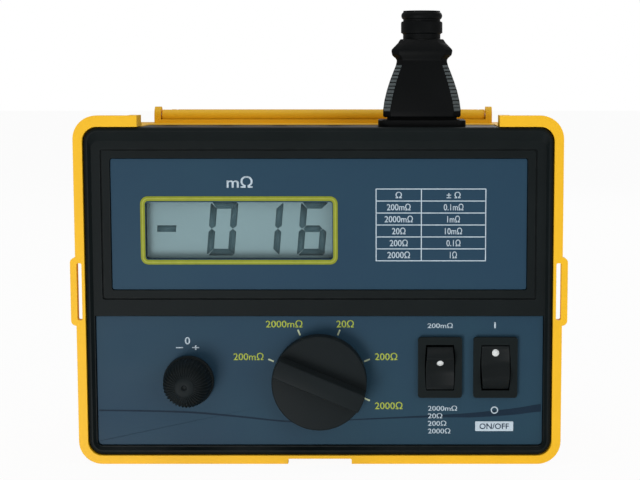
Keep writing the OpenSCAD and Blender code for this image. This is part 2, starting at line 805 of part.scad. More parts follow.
module range_switch_body() color([0.2, 0.2, 0.22]) face() at_range() {
  rotary_body(switch_r, switch_len);
  for (a = [15 : 30 : 345]) rotate([0, a, 0]) translate([switch_r - tail_r * 2, 0, 0])
    rod_y(tail_r / 2, plate_back + switch_len - cut, board_y);
}

module zero_pot_body() color([0.5, 0.5, 0.52]) face() at_zero() {
  rotary_body(pot_r, pot_len);
  for (i = [-1, 0, 1]) translate([i * 2 * pin_pitch, 0, -pot_r])
    span([-tail_r, plate_back + cut, -2 * tail_r], [tail_r, plate_back + cut + spade_t, pot_r / 2]);
}

// Hexagon nut in front of the panel, hidden under its knob
module bushing_nut(r) difference() {
  translate([0, panel_y - nut_t, 0]) rotate([-90, 0, 0]) cylinder(r = r, h = nut_t, $fn = 6);
  rod_y(bushing_r + run_gap, -cut, panel_y + cut);
}

module range_switch_nut() color("silver") face() at_range() bushing_nut(nut_r);

module zero_pot_nut() color("silver") face() at_zero() bushing_nut(nut_r - cut / 2);

// Shaft from inside its body to inside its knob
module shaft(height) rod_y(shaft_r, panel_y - height + shaft_top_gap, plate_back + shaft_in - run_gap);

module range_switch_shaft() color([0.85, 0.85, 0.8]) face() at_range() shaft(knob_h);

module zero_pot_shaft() color([0.85, 0.85, 0.8]) face() at_zero() shaft(zero_h);

// Range knob: round base with a raised grip across it, hollow round the nut
module range_knob() color([0.13, 0.14, 0.15]) face() at_range() translate([0, panel_y, 0])
  rotate([0, -grip_angle, 0]) difference() {
    union() {
      rotate([90, 0, 0]) rotate_extrude($fn = 96) polygon([
        [0, knob_gap], [knob_dia / 2, knob_gap], [knob_dia / 2, knob_base_h - knob_wall / 2],
        [knob_dia / 2 - knob_wall / 2, knob_base_h], [0, knob_base_h]]);
      intersection() {
        rotate([0, 0, 90]) rotate([90, 0, 0]) linear_extrude(knob_dia, center = true) polygon([
          [-knob_h, -grip_w / 2], [-knob_base_h, -grip_w / 2 - knob_wall / 3], [-knob_gap, -grip_w / 2 - knob_wall / 3],
          [-knob_gap, grip_w / 2 + knob_wall / 3], [-knob_base_h, grip_w / 2 + knob_wall / 3], [-knob_h, grip_w / 2]]);
        rod_y(knob_dia / 2, -knob_h, 0);
      }
    }
    knob_hollow(knob_dia / 2 - knob_wall, knob_base_h - knob_wall, knob_h);
    translate([knob_dia / 4, -grub_y, 0]) rod_x(grub_r + run_gap, knob_dia / 2 + cut);
  }

// Room round the nut, the shaft's bore in a boss, counted from the panel
module knob_hollow(r, depth, height) {
  difference() {
    rod_y(r, -depth, cut);
    rod_y(shaft_r + knob_wall, -depth - cut, -nut_t - 2 * knob_gap);
  }
  rod_y(shaft_r + run_gap, -height + shaft_top_gap - run_gap, cut);
}

// Grub screw that holds the range knob on its shaft
module range_knob_screw() color("silver") face() at_range() translate([0, panel_y, 0])
  rotate([0, -grip_angle, 0]) translate([shaft_r + run_gap, -grub_y, 0]) difference() {
    translate([knob_wall * 2, 0, 0]) rod_x(grub_r, knob_wall * 4);
    translate([knob_wall * 4, 0, 0]) rod_x(grub_r / 2, knob_wall, $fn = 6);
  }

// Zero knob: skirt, grooved tapered grip, smooth cap with a dimple
module zero_knob() color([0.1, 0.11, 0.11]) face() at_zero() translate([0, panel_y, 0]) difference() {
  r = zero_dia / 2;
  rotate([90, 0, 0]) rotate_extrude($fn = 96) polygon([
    [0, knob_gap], [r, knob_gap], [r, knob_wall], [r * 0.95, knob_wall * 1.2], [r * 0.86, zero_h * 0.75],
    [r * 0.72, zero_h * 0.87], [r * 0.38, zero_h * 0.96], [r * 0.1, zero_h], [0, zero_h - knob_gap]]);
  for (i = [0 : zero_grooves - 1]) rotate([0, i * 360 / zero_grooves, 0])
    translate([r * 0.4, 0, 0]) zero_groove(r);
  knob_hollow(r - knob_wall / 2, nut_t + 2 * knob_gap, zero_h);
}

// One groove: a thin wedge that follows the knob's taper, deepest along the flank
module zero_groove(r) {
  linear_extrude(r * PI / zero_grooves, center = true) polygon([
    [r * 0.5, -knob_wall * 1.3], [r * 0.41, -zero_h * 0.76], [r * 0.26, -zero_h * 0.88], [0, -zero_h * 0.955],
    [0, -zero_h - cut], [r, -zero_h - cut], [r, -knob_wall * 1.3]]);
}

// Outline of a rocker's opening or of the rocker itself, its sides bowed
module bowed(half_w, half_h) {
  bow_r = (half_h * half_h + rocker_bow * rocker_bow) / (2 * rocker_bow);
  intersection() {
    square([4 * half_w, 2 * half_h], center = true);
    translate([half_w + rocker_bow - bow_r, 0]) circle(bow_r, $fn = 180);
    translate([-half_w - rocker_bow + bow_r, 0]) circle(bow_r, $fn = 180);
  }
}

// Rocker switch housing with its bezel, counted from the panel's face
module rocker_housing() difference() {
  union() {
    block(-[bezel_w, bezel_h] / 2, [bezel_w, bezel_h] / 2, cut, panel_y - bezel_t, panel_y);
    block(-[rocker_body_w, rocker_body_h] / 2, [rocker_body_w, rocker_body_h] / 2, run_gap, panel_y,
          panel_y + rocker_body_d);
  }
  plate(panel_y - bezel_t - cut, panel_y) bowed(rocker_half_w + rocker_gap, open_half);
  span([-rocker_room_w / 2, panel_y - bezel_t + lip_t, -rocker_room_h / 2],
       [rocker_room_w / 2, panel_y - bezel_t + rocker_room_d, rocker_room_h / 2]);
  translate([0, panel_y - bezel_t + pivot_depth, 0]) rod_x(stub_r + run_gap, rocker_body_w + cut);
}

module range_rocker_housing() color([0.1, 0.1, 0.1]) face()
  translate([rocker_x1, 0, -rocker_z]) rocker_housing();

module power_rocker_housing() color([0.1, 0.1, 0.1]) face()
  translate([rocker_x2, 0, -rocker_z]) rocker_housing();

// Spade terminals behind a rocker's housing
module rocker_terminals(count) for (i = [0 : count - 1]) {
  z = (i - (count - 1) / 2) * (rocker_body_h / 3);
  span([-spade_w / 2, panel_y + rocker_body_d, z - spade_t / 2],
       [spade_w / 2, panel_y + rocker_body_d + spade_len, z + spade_t / 2]);
}

module range_rocker_terminals() color([0.8, 0.75, 0.5]) face()
  translate([rocker_x1, 0, -rocker_z]) rocker_terminals(3);

module power_rocker_terminals() color([0.8, 0.75, 0.5]) face()
  translate([rocker_x2, 0, -rocker_z]) rocker_terminals(2);

// Rocker on its pivot, level: two faces that meet in a valley, round ends, and stub axles
module rocker() {
  reach = norm([corner_reach, face_depth]);
  half = rocker_travel / 2;
  top_a = atan2(face_depth, corner_reach) + half;
  low_a = top_a - rocker_travel;
  valley = reach * sin(top_a) - reach * cos(top_a) * tan(half);
  arc = [for (a = [low_a : (top_a - low_a) / 6 : top_a + skin]) reach * [cos(a), sin(a)]];
  right = concat([[stub_r * 2, -stub_r * 2]], arc);
  left = [for (i = [len(right) - 1 : -1 : 0]) [-right[i][0], right[i][1]]];
  intersection() {
    rotate([0, -90, 180]) linear_extrude(rocker_room_w, center = true)
      polygon(concat(right, [[0, valley]], left));
    plate(-2 * reach, 2 * reach) bowed(rocker_half_w, open_half + 2 * cut);
  }
  rod_x(stub_r, rocker_room_w + 2 * stub_in);
}

// A rocker in its housing, tilted to one of its two ends
module seated_rocker(x, tilt) face() translate([x, panel_y - bezel_t + pivot_depth, -rocker_z])
  rotate([tilt, 0, 0]) rocker();

module range_rocker() color([0.16, 0.17, 0.18]) seated_rocker(rocker_x1, rocker_travel / 2);

module power_rocker() color([0.1, 0.11, 0.12]) seated_rocker(rocker_x2, -rocker_travel / 2);

// Insulating sleeves of the four test sockets, flush with the deck
module test_sockets() color([0.12, 0.12, 0.12]) face() at_sockets() difference() {
  union() {
    translate([0, 0, -collar_t]) cylinder(r = collar_r, h = collar_t);
    translate([0, 0, -socket_len]) cylinder(r = sleeve_r, h = socket_len - collar_t / 2);
  }
  translate([0, 0, -socket_len - cut])
    cylinder(r = socket_bore / 2 + contact_wall + run_gap, h = socket_len + 2 * cut);
}

// Metal contacts inside the sleeves
module socket_contacts() color([0.8, 0.7, 0.4]) face() at_sockets() difference() {
  union() {
    translate([0, 0, -socket_len])
      cylinder(r = socket_bore / 2 + contact_wall, h = socket_len - collar_t / 2);
    translate([0, 0, -socket_len - tail_len]) cylinder(r = tail_r, h = tail_len + cut);
  }
  translate([0, 0, -collar_t / 2 - socket_depth]) cylinder(r = socket_bore / 2, h = socket_depth + cut);
}

module socket_nuts() color("silver") face() at_sockets() translate([0, 0, -deck_t - nut_t])
  difference() {
    rotate([0, 0, 30]) cylinder(r = sleeve_r + nut_t, h = nut_t, $fn = 6);
    translate([0, 0, -cut]) cylinder(r = sleeve_r + run_gap, h = nut_t + 2 * cut);
  }

// Plan of the inlet's cavity or of the plug's nose: two corners cut off on the earth side
module keyed(w, d) polygon([
  [-w / 2, -d / 2], [w / 2, -d / 2], [w / 2, d / 2 - key_cut], [w / 2 - key_cut, d / 2],
  [-w / 2 + key_cut, d / 2], [-w / 2, d / 2 - key_cut]]);

// Places of the three blades: two in line, the earth between them on the keyed side
module at_blades() {
  for (x = [-blade_pitch, blade_pitch]) translate([x, -blade_offset, 0]) children();
  translate([0, blade_offset, 0]) children();
}

module inlet_housing() color([0.08, 0.08, 0.08]) face() at_inlet() difference() {
  union() {
    linear_extrude(inlet_flange_t)
      rounded(-[inlet_flange_w, inlet_flange_d] / 2, [inlet_flange_w, inlet_flange_d] / 2, inlet_r);
    span([-inlet_body_w / 2, -inlet_body_d / 2, -inlet_body_h], [inlet_body_w / 2, inlet_body_d / 2, cut]);
  }
  translate([0, 0, inlet_flange_t - cavity_h]) linear_extrude(cavity_h + cut) keyed(cavity_w, cavity_d);
  translate([0, 0, -inlet_body_h - cut]) linear_extrude(inlet_body_h) at_blades_2d()
    square([blade_t + run_gap, blade_w + run_gap], center = true);
}

module at_blades_2d() {
  for (x = [-blade_pitch, blade_pitch]) translate([x, -blade_offset]) children();
  translate([0, blade_offset]) children();
}

// Blades that end a little under the cavity's mouth and carry a terminal below
module inlet_pins() color("silver") face() at_inlet() at_blades()
  span([-blade_t / 2, -blade_w / 2, -inlet_body_h - spade_len],
       [blade_t / 2, blade_w / 2, inlet_flange_t - blade_short]);

// Sections of the connector's grip: height and size as shares of the grip's height and base
grip_z_shares = [0, 0.12, 0.3, 0.48, 0.66, 0.84, 1];
grip_w_shares = [0.985, 0.99, 0.955, 0.894, 0.813, 0.715, 0.645];
grip_d_shares = [0.99, 1, 0.985, 0.96, 0.91, 0.84, 0.76];
grip_h = 19;
grip_bevel = 2.3;
flare_h = 3.8;
flare_w = 10.5;
flare_edge = 2;
collar_half = 7.6;
ridge_count = 9;
ridge_pitch = 1.6;
ridge_t = 0.7;
ridge_out = 0.35;

// Eight corners of a bevelled section at height z
function section(z, w, d) = [
  [-w + grip_bevel, -d, z], [w - grip_bevel, -d, z], [w, -d + grip_bevel, z], [w, d - grip_bevel, z],
  [w - grip_bevel, d, z], [-w + grip_bevel, d, z], [-w, d - grip_bevel, z], [-w, -d + grip_bevel, z]];

// Skins a stack of sections
module loft(sections) {
  n = len(sections[0]);
  m = len(sections);
  sides = [for (i = [0 : m - 2], j = [0 : n - 1]) [
    i * n + j, (i + 1) * n + j, (i + 1) * n + (j + 1) % n, i * n + (j + 1) % n]];
  low = [for (j = [0 : n - 1]) j];
  top = [for (j = [n - 1 : -1 : 0]) (m - 1) * n + j];
  polyhedron(points = [for (s = sections) each s], faces = concat([low], sides, [top]), convexity = 4);
}

// Half width and half thickness of the grip at height z
function grip_share(z, shares) = lookup(z / grip_h, [for (i = [0 : len(shares) - 1]) [grip_z_shares[i], shares[i]]]);

function grip_half(z) = [
  connector_half_w * grip_share(z, grip_w_shares), connector_half_d * grip_share(z, grip_d_shares)];

// The grip's outer form, smaller all round by inset
module grip_form(inset) loft([for (share = grip_z_shares) section(
  share * grip_h, grip_half(share * grip_h)[0] - inset, grip_half(share * grip_h)[1] - inset)]);

// Fine ridges for the fingers across the bevelled corners
module grip_ridges() for (i = [1 : ridge_count], x = [-1, 1], y = [-1, 1]) {
  half = grip_half(i * ridge_pitch);
  translate([x * (half[0] - grip_bevel / 2), y * (half[1] - grip_bevel / 2), i * ridge_pitch])
    rotate([0, 0, -45 * x * y]) cube([grip_bevel, 2 * ridge_out, ridge_t], center = true);
}

// The flare over the grip and the neck up to the clamp
module flare_form(inset) {
  neck_w = grip_half(grip_h)[0];
  neck_d = grip_half(grip_h)[1];
  loft([section(grip_h - skin, neck_w - inset, neck_d - inset),
        section(grip_h + flare_edge, flare_w - inset, neck_d + flare_edge / 2 - inset),
        section(grip_h + flare_h, flare_w - inset, neck_d + flare_edge / 2 - inset),
        section(grip_h + 2 * flare_h, collar_half - inset, collar_half - flare_edge / 2 - inset)]);
}

module at_grip() at_inlet() translate([0, 0, inlet_flange_t + grip_gap]) children();

// Both shells of the connector, before they are parted
module shell_form() difference() {
  union() {
    grip_form(0);
    grip_ridges();
    flare_form(0);
  }
  translate([0, 0, -skin]) intersection() {
    grip_form(shell_wall);
    cylinder(r = 2 * connector_half_w, h = grip_h - shell_wall);
  }
  cylinder(r = clamp_room_r, h = connector_h);
  translate([0, 0, screw_z]) {
    rod_y(case_screw_r + run_gap, -connector_half_d + shell_wall, connector_half_d);
    rod_y(head_r + fit_gap, connector_half_d - shell_wall - head_t, 2 * connector_half_d);
  }
}

clamp_room_r = 5;
part_gap = 0.1;
screw_z = grip_h * 0.6;

// Half of the connector in front of (-1) or behind (1) its parting plane
module shell_half(side) intersection() {
  shell_form();
  span([-2 * connector_half_w, side < 0 ? -2 * connector_half_d : part_gap / 2, -cut],
       [2 * connector_half_w, side < 0 ? -part_gap / 2 : 2 * connector_half_d, connector_h]);
}

module connector_front_shell() color([0.08, 0.09, 0.09]) face() at_grip() shell_half(-1);

module connector_rear_shell() color([0.08, 0.09, 0.09]) face() at_grip() shell_half(1);

// Nose that fits the inlet, with slots for the blades and a root held in the shells
module connector_nose() color([0.1, 0.1, 0.1]) face() at_inlet() difference() {
  union() {
    translate([0, 0, inlet_flange_t - nose_len]) linear_extrude(nose_len + grip_gap)
      keyed(cavity_w - 2 * nose_gap, cavity_d - 2 * nose_gap);
    translate([0, 0, inlet_flange_t + grip_gap - skin]) linear_extrude(nose_root + skin)
      polygon([for (p = section(0, grip_half(nose_root)[0] - shell_wall - fit_gap,
                                grip_half(nose_root)[1] - shell_wall - fit_gap)) [p[0], p[1]]]);
  }
  translate([0, 0, inlet_flange_t - nose_len - cut]) linear_extrude(nose_len + grip_gap + nose_root)
    at_blades_2d() square([blade_t + 2 * sleeve_t + 2 * fit_gap, blade_w + 2 * sleeve_t + 2 * fit_gap], center = true);
}

nose_root = 6;
sleeve_t = 0.5;
sleeve_depth = 1.5;

// Sprung sleeves that grip the inlet's blades
module connector_contacts() color([0.8, 0.7, 0.4]) face() at_inlet() at_blades() difference() {
  span([-blade_t / 2 - sleeve_t, -blade_w / 2 - sleeve_t, inlet_flange_t - nose_len + sleeve_depth],
       [blade_t / 2 + sleeve_t, blade_w / 2 + sleeve_t, inlet_flange_t + grip_gap + nose_root - 2 * cut]);
  span([-blade_t / 2 - run_gap, -blade_w / 2 - run_gap, -inlet_body_h],
       [blade_t / 2 + run_gap, blade_w / 2 + run_gap, inlet_flange_t]);
}

// Round clamp with its rings, bored for the cord
module cord_clamp() color([0.07, 0.08, 0.08]) face() at_grip() {
  base = grip_h + 2 * flare_h;
  top = connector_h - grip_gap;
  ring = (top - base) / 6;
  difference() {
    union() {
      translate([0, 0, grip_h - shell_wall]) cylinder(r = clamp_room_r - fit_gap, h = top - grip_h);
      rotate_extrude() polygon([
        [0, base], [clamp_r - ring / 2, base], [clamp_r - ring / 4, base + ring], [clamp_r - ring / 2, base + 1.2 * ring],
        [clamp_r - ring / 2, base + 2 * ring], [clamp_r, base + 2.2 * ring], [clamp_r, base + 4 * ring],
        [clamp_r - ring / 2, base + 4.2 * ring], [clamp_r - ring / 2, base + 4.6 * ring], [clamp_r, base + 5 * ring],
        [clamp_r, base + 5.4 * ring], [clamp_r - ring / 2, top], [0, top]]);
    }
    translate([0, 0, grip_h - shell_wall - cut]) cylinder(r = cord_entry_r, h = connector_h);
    for (side = [-1, 1]) translate([side * clamp_r / 2, 0, 0])
      span([-clamp_r / 6, -2 * clamp_r, base + 1.2 * ring], [clamp_r / 6, -clamp_r + ring / 2, base + 2 * ring]);
  }
}

// Screw through both shells, its head sunk in the rear one
module connector_screw() color("silver") face() at_grip()
  translate([0, connector_half_d - shell_wall - head_t, screw_z])
    screw(case_screw_r, 2 * connector_half_d - 2 * shell_wall - head_t - fit_gap, head_r, head_t);

// Link between the case and the lid, folded back over the case
module hinge_link() color([0.94, 0.7, 0.15]) face() translate([0, axis_y, axis_z])
  rotate([link_tilt, 0, 0]) difference() {
    union() {
      for (y = [0, link_len]) translate([0, y, 0]) rod_x(barrel_r, 2 * barrel_x);
      span([-barrel_x, 0, link_low], [barrel_x, link_len, link_low + link_t]);
      span([-ear_out, wing_gap, link_low], [ear_out, link_len - wing_gap, link_low + link_t]);
    }
    for (y = [0, link_len]) translate([0, y, 0]) rod_x(rod_r + run_gap, 2 * notch_w);
  }

// Everything of the lid is counted from the hinge line that it turns on
module at_lid() translate([0, lid_axis_y, lid_lift]) mirror([0, 1, 0]) children();

module lid_hinge_rod() color("silver") face()
  translate([0, lid_axis_y, axis_z + lid_lift]) rod_x(rod_r, 2 * ear_out);

// Lid: a tray with hinge ears at the top and the latch at the bottom
module lid() color([0.94, 0.7, 0.15]) face() at_lid() {
  difference() {
    tray(lid_x, lid_low, lid_top, lid_r, lid_d, back_r);
    block([-lid_x + lid_wall, lid_low + lid_wall], [lid_x - lid_wall, lid_top - lid_wall],
          lid_r - lid_wall, -cut, lid_d - lid_wall);
  }
  for (side = [-1, 1]) translate([side * (ear_in + ear_w / 2), 0, axis_z]) difference() {
    union() {
      rod_x(barrel_r, ear_w);
      span([-ear_w / 2, 0, lid_top - lid_wall / 2 - axis_z], [ear_w / 2, barrel_r, 0]);
    }
    rod_x(rod_r + run_gap, ear_w + 2 * cut);
  }
  latch();
}

// Springy tongue under the lid: the folded lid stands on its foot, its hook takes hold of the case
module latch() {
  low = -mid_z - lid_lift;
  span([-latch_w / 2, 0, low], [latch_w / 2, 2 * flange_d, lid_low + lid_wall / 2]);
  span([-latch_w / 2, -flange_d - close_gap - 2 * recess_gap, low],
       [latch_w / 2, skin, -mid_z + recess_h - close_gap]);
}

case_shell();
front_frame();
upper_panel();
lower_panel();
case_hinge_rod();
case_screws();
display_window();
display_glass();
display_holder();
contact_strips();
display_board();
main_board();
board_spacers();
board_screws();
transformer_core();
transformer_coil();
converter_chip();
smoothing_capacitors();
range_resistors();
fuse_clips();
fuse();
range_switch_body();
range_switch_nut();
zero_pot_body();
zero_pot_nut();
range_rocker_housing();
power_rocker_housing();
range_rocker_terminals();
power_rocker_terminals();
inlet_housing();
inlet_pins();
test_sockets();
socket_contacts();
socket_nuts();
range_knob();
range_switch_shaft();
range_knob_screw();
zero_knob();
zero_pot_shaft();
range_rocker();
power_rocker();
connector_front_shell();
connector_rear_shell();
connector_nose();
connector_contacts();
cord_clamp();
connector_screw();
hinge_link();
lid_hinge_rod();
lid();
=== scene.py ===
"""Looks of a bench milliohm meter that stands in its yellow carrying case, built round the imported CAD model.

Sizes are in millimetres in the case's own frame: x to the right, d inwards from the front of the case,
h upwards from its middle. place() turns them into metres in the model's frame.
"""

from __future__ import annotations

import json
import logging
import math
from dataclasses import dataclass, field
from enum import Enum
from typing import Callable, Iterable, Optional, Sequence

import bmesh
import bpy
from bmesh.types import BMEdge, BMesh, BMVert
from bpy.types import ID, Material, Node, NodeSocket, NodeTree, Object
from mathutils import Matrix, Vector

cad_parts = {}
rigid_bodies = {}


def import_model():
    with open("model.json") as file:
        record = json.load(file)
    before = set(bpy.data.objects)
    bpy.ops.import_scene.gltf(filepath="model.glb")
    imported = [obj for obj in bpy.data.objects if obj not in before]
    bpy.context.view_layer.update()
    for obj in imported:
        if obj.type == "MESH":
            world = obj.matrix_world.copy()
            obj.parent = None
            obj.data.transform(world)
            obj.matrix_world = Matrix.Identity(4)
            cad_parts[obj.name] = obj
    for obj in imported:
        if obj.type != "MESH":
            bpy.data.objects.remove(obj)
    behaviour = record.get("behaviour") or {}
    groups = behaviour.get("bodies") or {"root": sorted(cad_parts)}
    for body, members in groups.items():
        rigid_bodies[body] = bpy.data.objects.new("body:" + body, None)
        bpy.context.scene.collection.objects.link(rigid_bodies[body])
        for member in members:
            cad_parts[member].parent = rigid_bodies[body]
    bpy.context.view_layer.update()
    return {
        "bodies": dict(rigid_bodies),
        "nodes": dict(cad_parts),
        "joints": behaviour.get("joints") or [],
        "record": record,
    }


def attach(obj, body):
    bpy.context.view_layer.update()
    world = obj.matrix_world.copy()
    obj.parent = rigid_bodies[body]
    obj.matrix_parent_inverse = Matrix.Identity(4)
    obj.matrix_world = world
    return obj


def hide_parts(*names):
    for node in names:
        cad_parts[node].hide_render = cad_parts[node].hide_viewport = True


LOG = logging.getLogger("milliohm_meter")
MM = 0.001

# Sizes that several classes share: the case's depth and the height of its middle, the depth of the panels'
# printed side, the thickness of a print, and the gap below which two corners are one
CASE_DEPTH = 64.0
CASE_MIDDLE = 60.0
PANEL_D = 3.3
INK = 0.05
WELD = 1e-5

Colour = tuple[float, float, float]
Point = tuple[float, float]
Ring = list[Vector]


def place(x: float, d: float, h: float) -> Vector:
    """Turns a point of the case's frame, in millimetres, into the model's frame in metres."""
    return Vector((x * MM, (d - CASE_DEPTH / 2) * MM, (h + CASE_MIDDLE) * MM))


def linear(value: int) -> float:
    """Turns a channel of 0 to 255 into its linear share of 1."""
    v = value / 255
    return v / 12.92 if v <= 0.04045 else ((v + 0.055) / 1.055) ** 2.4


def srgb(red: int, green: int, blue: int) -> Colour:
    """Turns a colour of 0 to 255 a channel into the linear colour that shaders take."""
    return (linear(red), linear(green), linear(blue))


def opaque(colour: Colour, keep: float = 1.0) -> tuple[float, ...]:
    """Gives a share of a colour's brightness, with the full alpha that sockets take."""
    return tuple(channel * keep for channel in colour) + (1.0,)


# Shader node groups that several finishes share


class NodeSheet:
    """Adds nodes to a tree and joins them by socket name."""

    def __init__(self, tree: NodeTree) -> None:
        """Starts on an empty tree."""
        self.tree = tree
        self.tree.nodes.clear()

    def add(self, kind: str, inputs: Optional[dict] = None, **settings: object) -> Node:
        """Adds a node.

        Args:
            kind: the node's type name.
            inputs: socket name or number to a value, or to an output socket to join to it.
            settings: the node's own properties.

        Returns:
            The new node.
        """
        made = self.tree.nodes.new(kind)
        for key, value in settings.items():
            setattr(made, key, value)
        for key, value in (inputs or {}).items():
            socket = made.inputs[key]
            if isinstance(value, NodeSocket):
                self.join(value, socket)
            else:
                socket.default_value = value
        return made

    def join(self, source: NodeSocket, target: NodeSocket) -> None:
        """Joins an output socket to an input socket."""
        self.tree.links.new(source, target)

    def ramp(self, source: NodeSocket, low: float, high: float, to_low: float = 0.0,
             to_high: float = 1.0) -> NodeSocket:
        """Maps a range of source to another range and clamps it."""
        inputs = {0: source, 1: low, 2: high, 3: to_low, 4: to_high}
        return self.add("ShaderNodeMapRange", inputs).outputs[0]

    def maths(self, operation: str, a: object, b: object = 0.0) -> NodeSocket:
        """Does one sum on two values or sockets."""
        return self.add("ShaderNodeMath", {0: a, 1: b}, operation=operation).outputs[0]

    def blend(self, factor: object, a: object, b: object) -> NodeSocket:
        """Mixes two colours by a factor."""
        return self.add("ShaderNodeMix", {0: factor, 6: a, 7: b}, data_type="RGBA").outputs[2]

    def here(self) -> NodeSocket:
        """Gives the place on the piece, which its patterns read."""
        return self.add("ShaderNodeTexCoord").outputs["Object"]


class SharedEffect(Enum):
    """Effects that more than one finish uses, each one node group."""

    MOULD_GRAIN = "mould_grain"
    RUBBED_EDGE = "rubbed_edge"
    SETTLED_DUST = "settled_dust"
    FINE_SCRATCH = "fine_scratch"

    def tree(self) -> NodeTree:
        """Gives the effect's node group, built at its first use."""
        return bpy.data.node_groups.get(self.value) or EFFECT_BUILDERS[self](self.value)


def new_group(name: str, numbers: dict[str, float], outputs: Sequence[str]) -> tuple[NodeSheet, Node, Node]:
    """Starts a shader group.

    Args:
        name: the group's name.
        numbers: each input's name and its first value.
        outputs: the names of the values that the group puts out.

    Returns:
        Its sheet, its input node and its output node.
    """
    tree = bpy.data.node_groups.new(name, "ShaderNodeTree")
    for label, value in numbers.items():
        socket = tree.interface.new_socket(label, in_out="INPUT", socket_type="NodeSocketFloat")
        socket.default_value = value
    for label in outputs:
        tree.interface.new_socket(label, in_out="OUTPUT", socket_type="NodeSocketFloat")
    sheet = NodeSheet(tree)
    return sheet, sheet.add("NodeGroupInput"), sheet.add("NodeGroupOutput")


def build_mould_grain(name: str) -> NodeTree:
    """Builds fine spark-eroded grain as a height, and a slow mottling as a mask.

    Args:
        name: the group's name.

    Returns:
        The group.
    """
    sheet, given, out = new_group(name, {"Grain Scale": 2500.0, "Mottle Scale": 60.0}, ("Height", "Mottle"))
    here = sheet.here()
    size, patch = given.outputs["Grain Scale"], given.outputs["Mottle Scale"]
    fine = sheet.add("ShaderNodeTexNoise", {"Vector": here, "Scale": size, "Detail": 3.0, "Roughness": 0.65})
    cells = sheet.add("ShaderNodeTexVoronoi", {"Vector": here, "Scale": size})
    slow = sheet.add("ShaderNodeTexNoise", {"Vector": here, "Scale": patch, "Detail": 4.0, "Roughness": 0.6})
    height = sheet.maths("ADD", fine.outputs[0], sheet.maths("MULTIPLY", cells.outputs["Distance"], 0.6))
    sheet.join(height, out.inputs["Height"])
    sheet.join(sheet.ramp(slow.outputs[0], 0.3, 0.7), out.inputs["Mottle"])
    return sheet.tree


def build_rubbed_edge(name: str) -> NodeTree:
    """Builds a mask of the outer edges that hands and benches rub, broken up by noise.

    Args:
        name: the group's name.

    Returns:
        The group.
    """
    sheet, given, out = new_group(name, {"Width": 0.0006, "Amount": 0.5, "Break Up": 300.0}, ("Mask",))
    soft = sheet.add("ShaderNodeBevel", {"Radius": given.outputs["Width"]}, samples=4).outputs[0]
    flat = sheet.add("ShaderNodeNewGeometry").outputs["Normal"]
    alike = sheet.add("ShaderNodeVectorMath", {0: soft, 1: flat}, operation="DOT_PRODUCT").outputs["Value"]
    edge = sheet.ramp(alike, 0.995, 0.85)
    breaks = {"Vector": sheet.here(), "Scale": given.outputs["Break Up"], "Detail": 4.0}
    noise = sheet.add("ShaderNodeTexNoise", breaks)
    worn = sheet.maths("MULTIPLY", edge, sheet.ramp(noise.outputs[0], 0.42, 0.62))
    sheet.join(sheet.maths("MULTIPLY", worn, given.outputs["Amount"]), out.inputs["Mask"])
    return sheet.tree


def build_settled_dust(name: str) -> NodeTree:
    """Builds a mask of thin dust on what faces up.

    Args:
        name: the group's name.

    Returns:
        The group.
    """
    sheet, given, out = new_group(name, {"Amount": 0.1, "Patch Scale": 90.0}, ("Mask",))
    facing = sheet.add("ShaderNodeNewGeometry").outputs["Normal"]
    up = sheet.add("ShaderNodeSeparateXYZ", {0: facing}).outputs[2]
    patches = {"Vector": sheet.here(), "Scale": given.outputs["Patch Scale"], "Detail": 6.0, "Roughness": 0.7}
    noise = sheet.add("ShaderNodeTexNoise", patches)
    lying = sheet.maths("MULTIPLY", sheet.ramp(up, 0.5, 1.0), sheet.ramp(noise.outputs[0], 0.4, 0.75))
    sheet.join(sheet.maths("MULTIPLY", lying, given.outputs["Amount"]), out.inputs["Mask"])
    return sheet.tree


def build_fine_scratch(name: str) -> NodeTree:
    """Builds hairline scratches as a height, from noise drawn out along one way.

    Args:
        name: the group's name.

    Returns:
        The group.
    """
    sheet, given, out = new_group(name, {"Scale": 60.0, "Stretch": 30.0}, ("Height",))
    stretch = given.outputs["Stretch"]
    drawn = sheet.add("ShaderNodeCombineXYZ", {0: 1.0, 1: stretch, 2: stretch}).outputs[0]
    along = sheet.add("ShaderNodeVectorMath", {0: sheet.here(), 1: drawn}, operation="MULTIPLY").outputs[0]
    noise = sheet.add("ShaderNodeTexNoise", {"Vector": along, "Scale": given.outputs["Scale"], "Detail": 5.0})
    sheet.join(noise.outputs[0], out.inputs["Height"])
    return sheet.tree


EFFECT_BUILDERS: dict[SharedEffect, Callable[[str], NodeTree]] = {
    SharedEffect.MOULD_GRAIN: build_mould_grain,
    SharedEffect.RUBBED_EDGE: build_rubbed_edge,
    SharedEffect.SETTLED_DUST: build_settled_dust,
    SharedEffect.FINE_SCRATCH: build_fine_scratch,
}


# Finishes


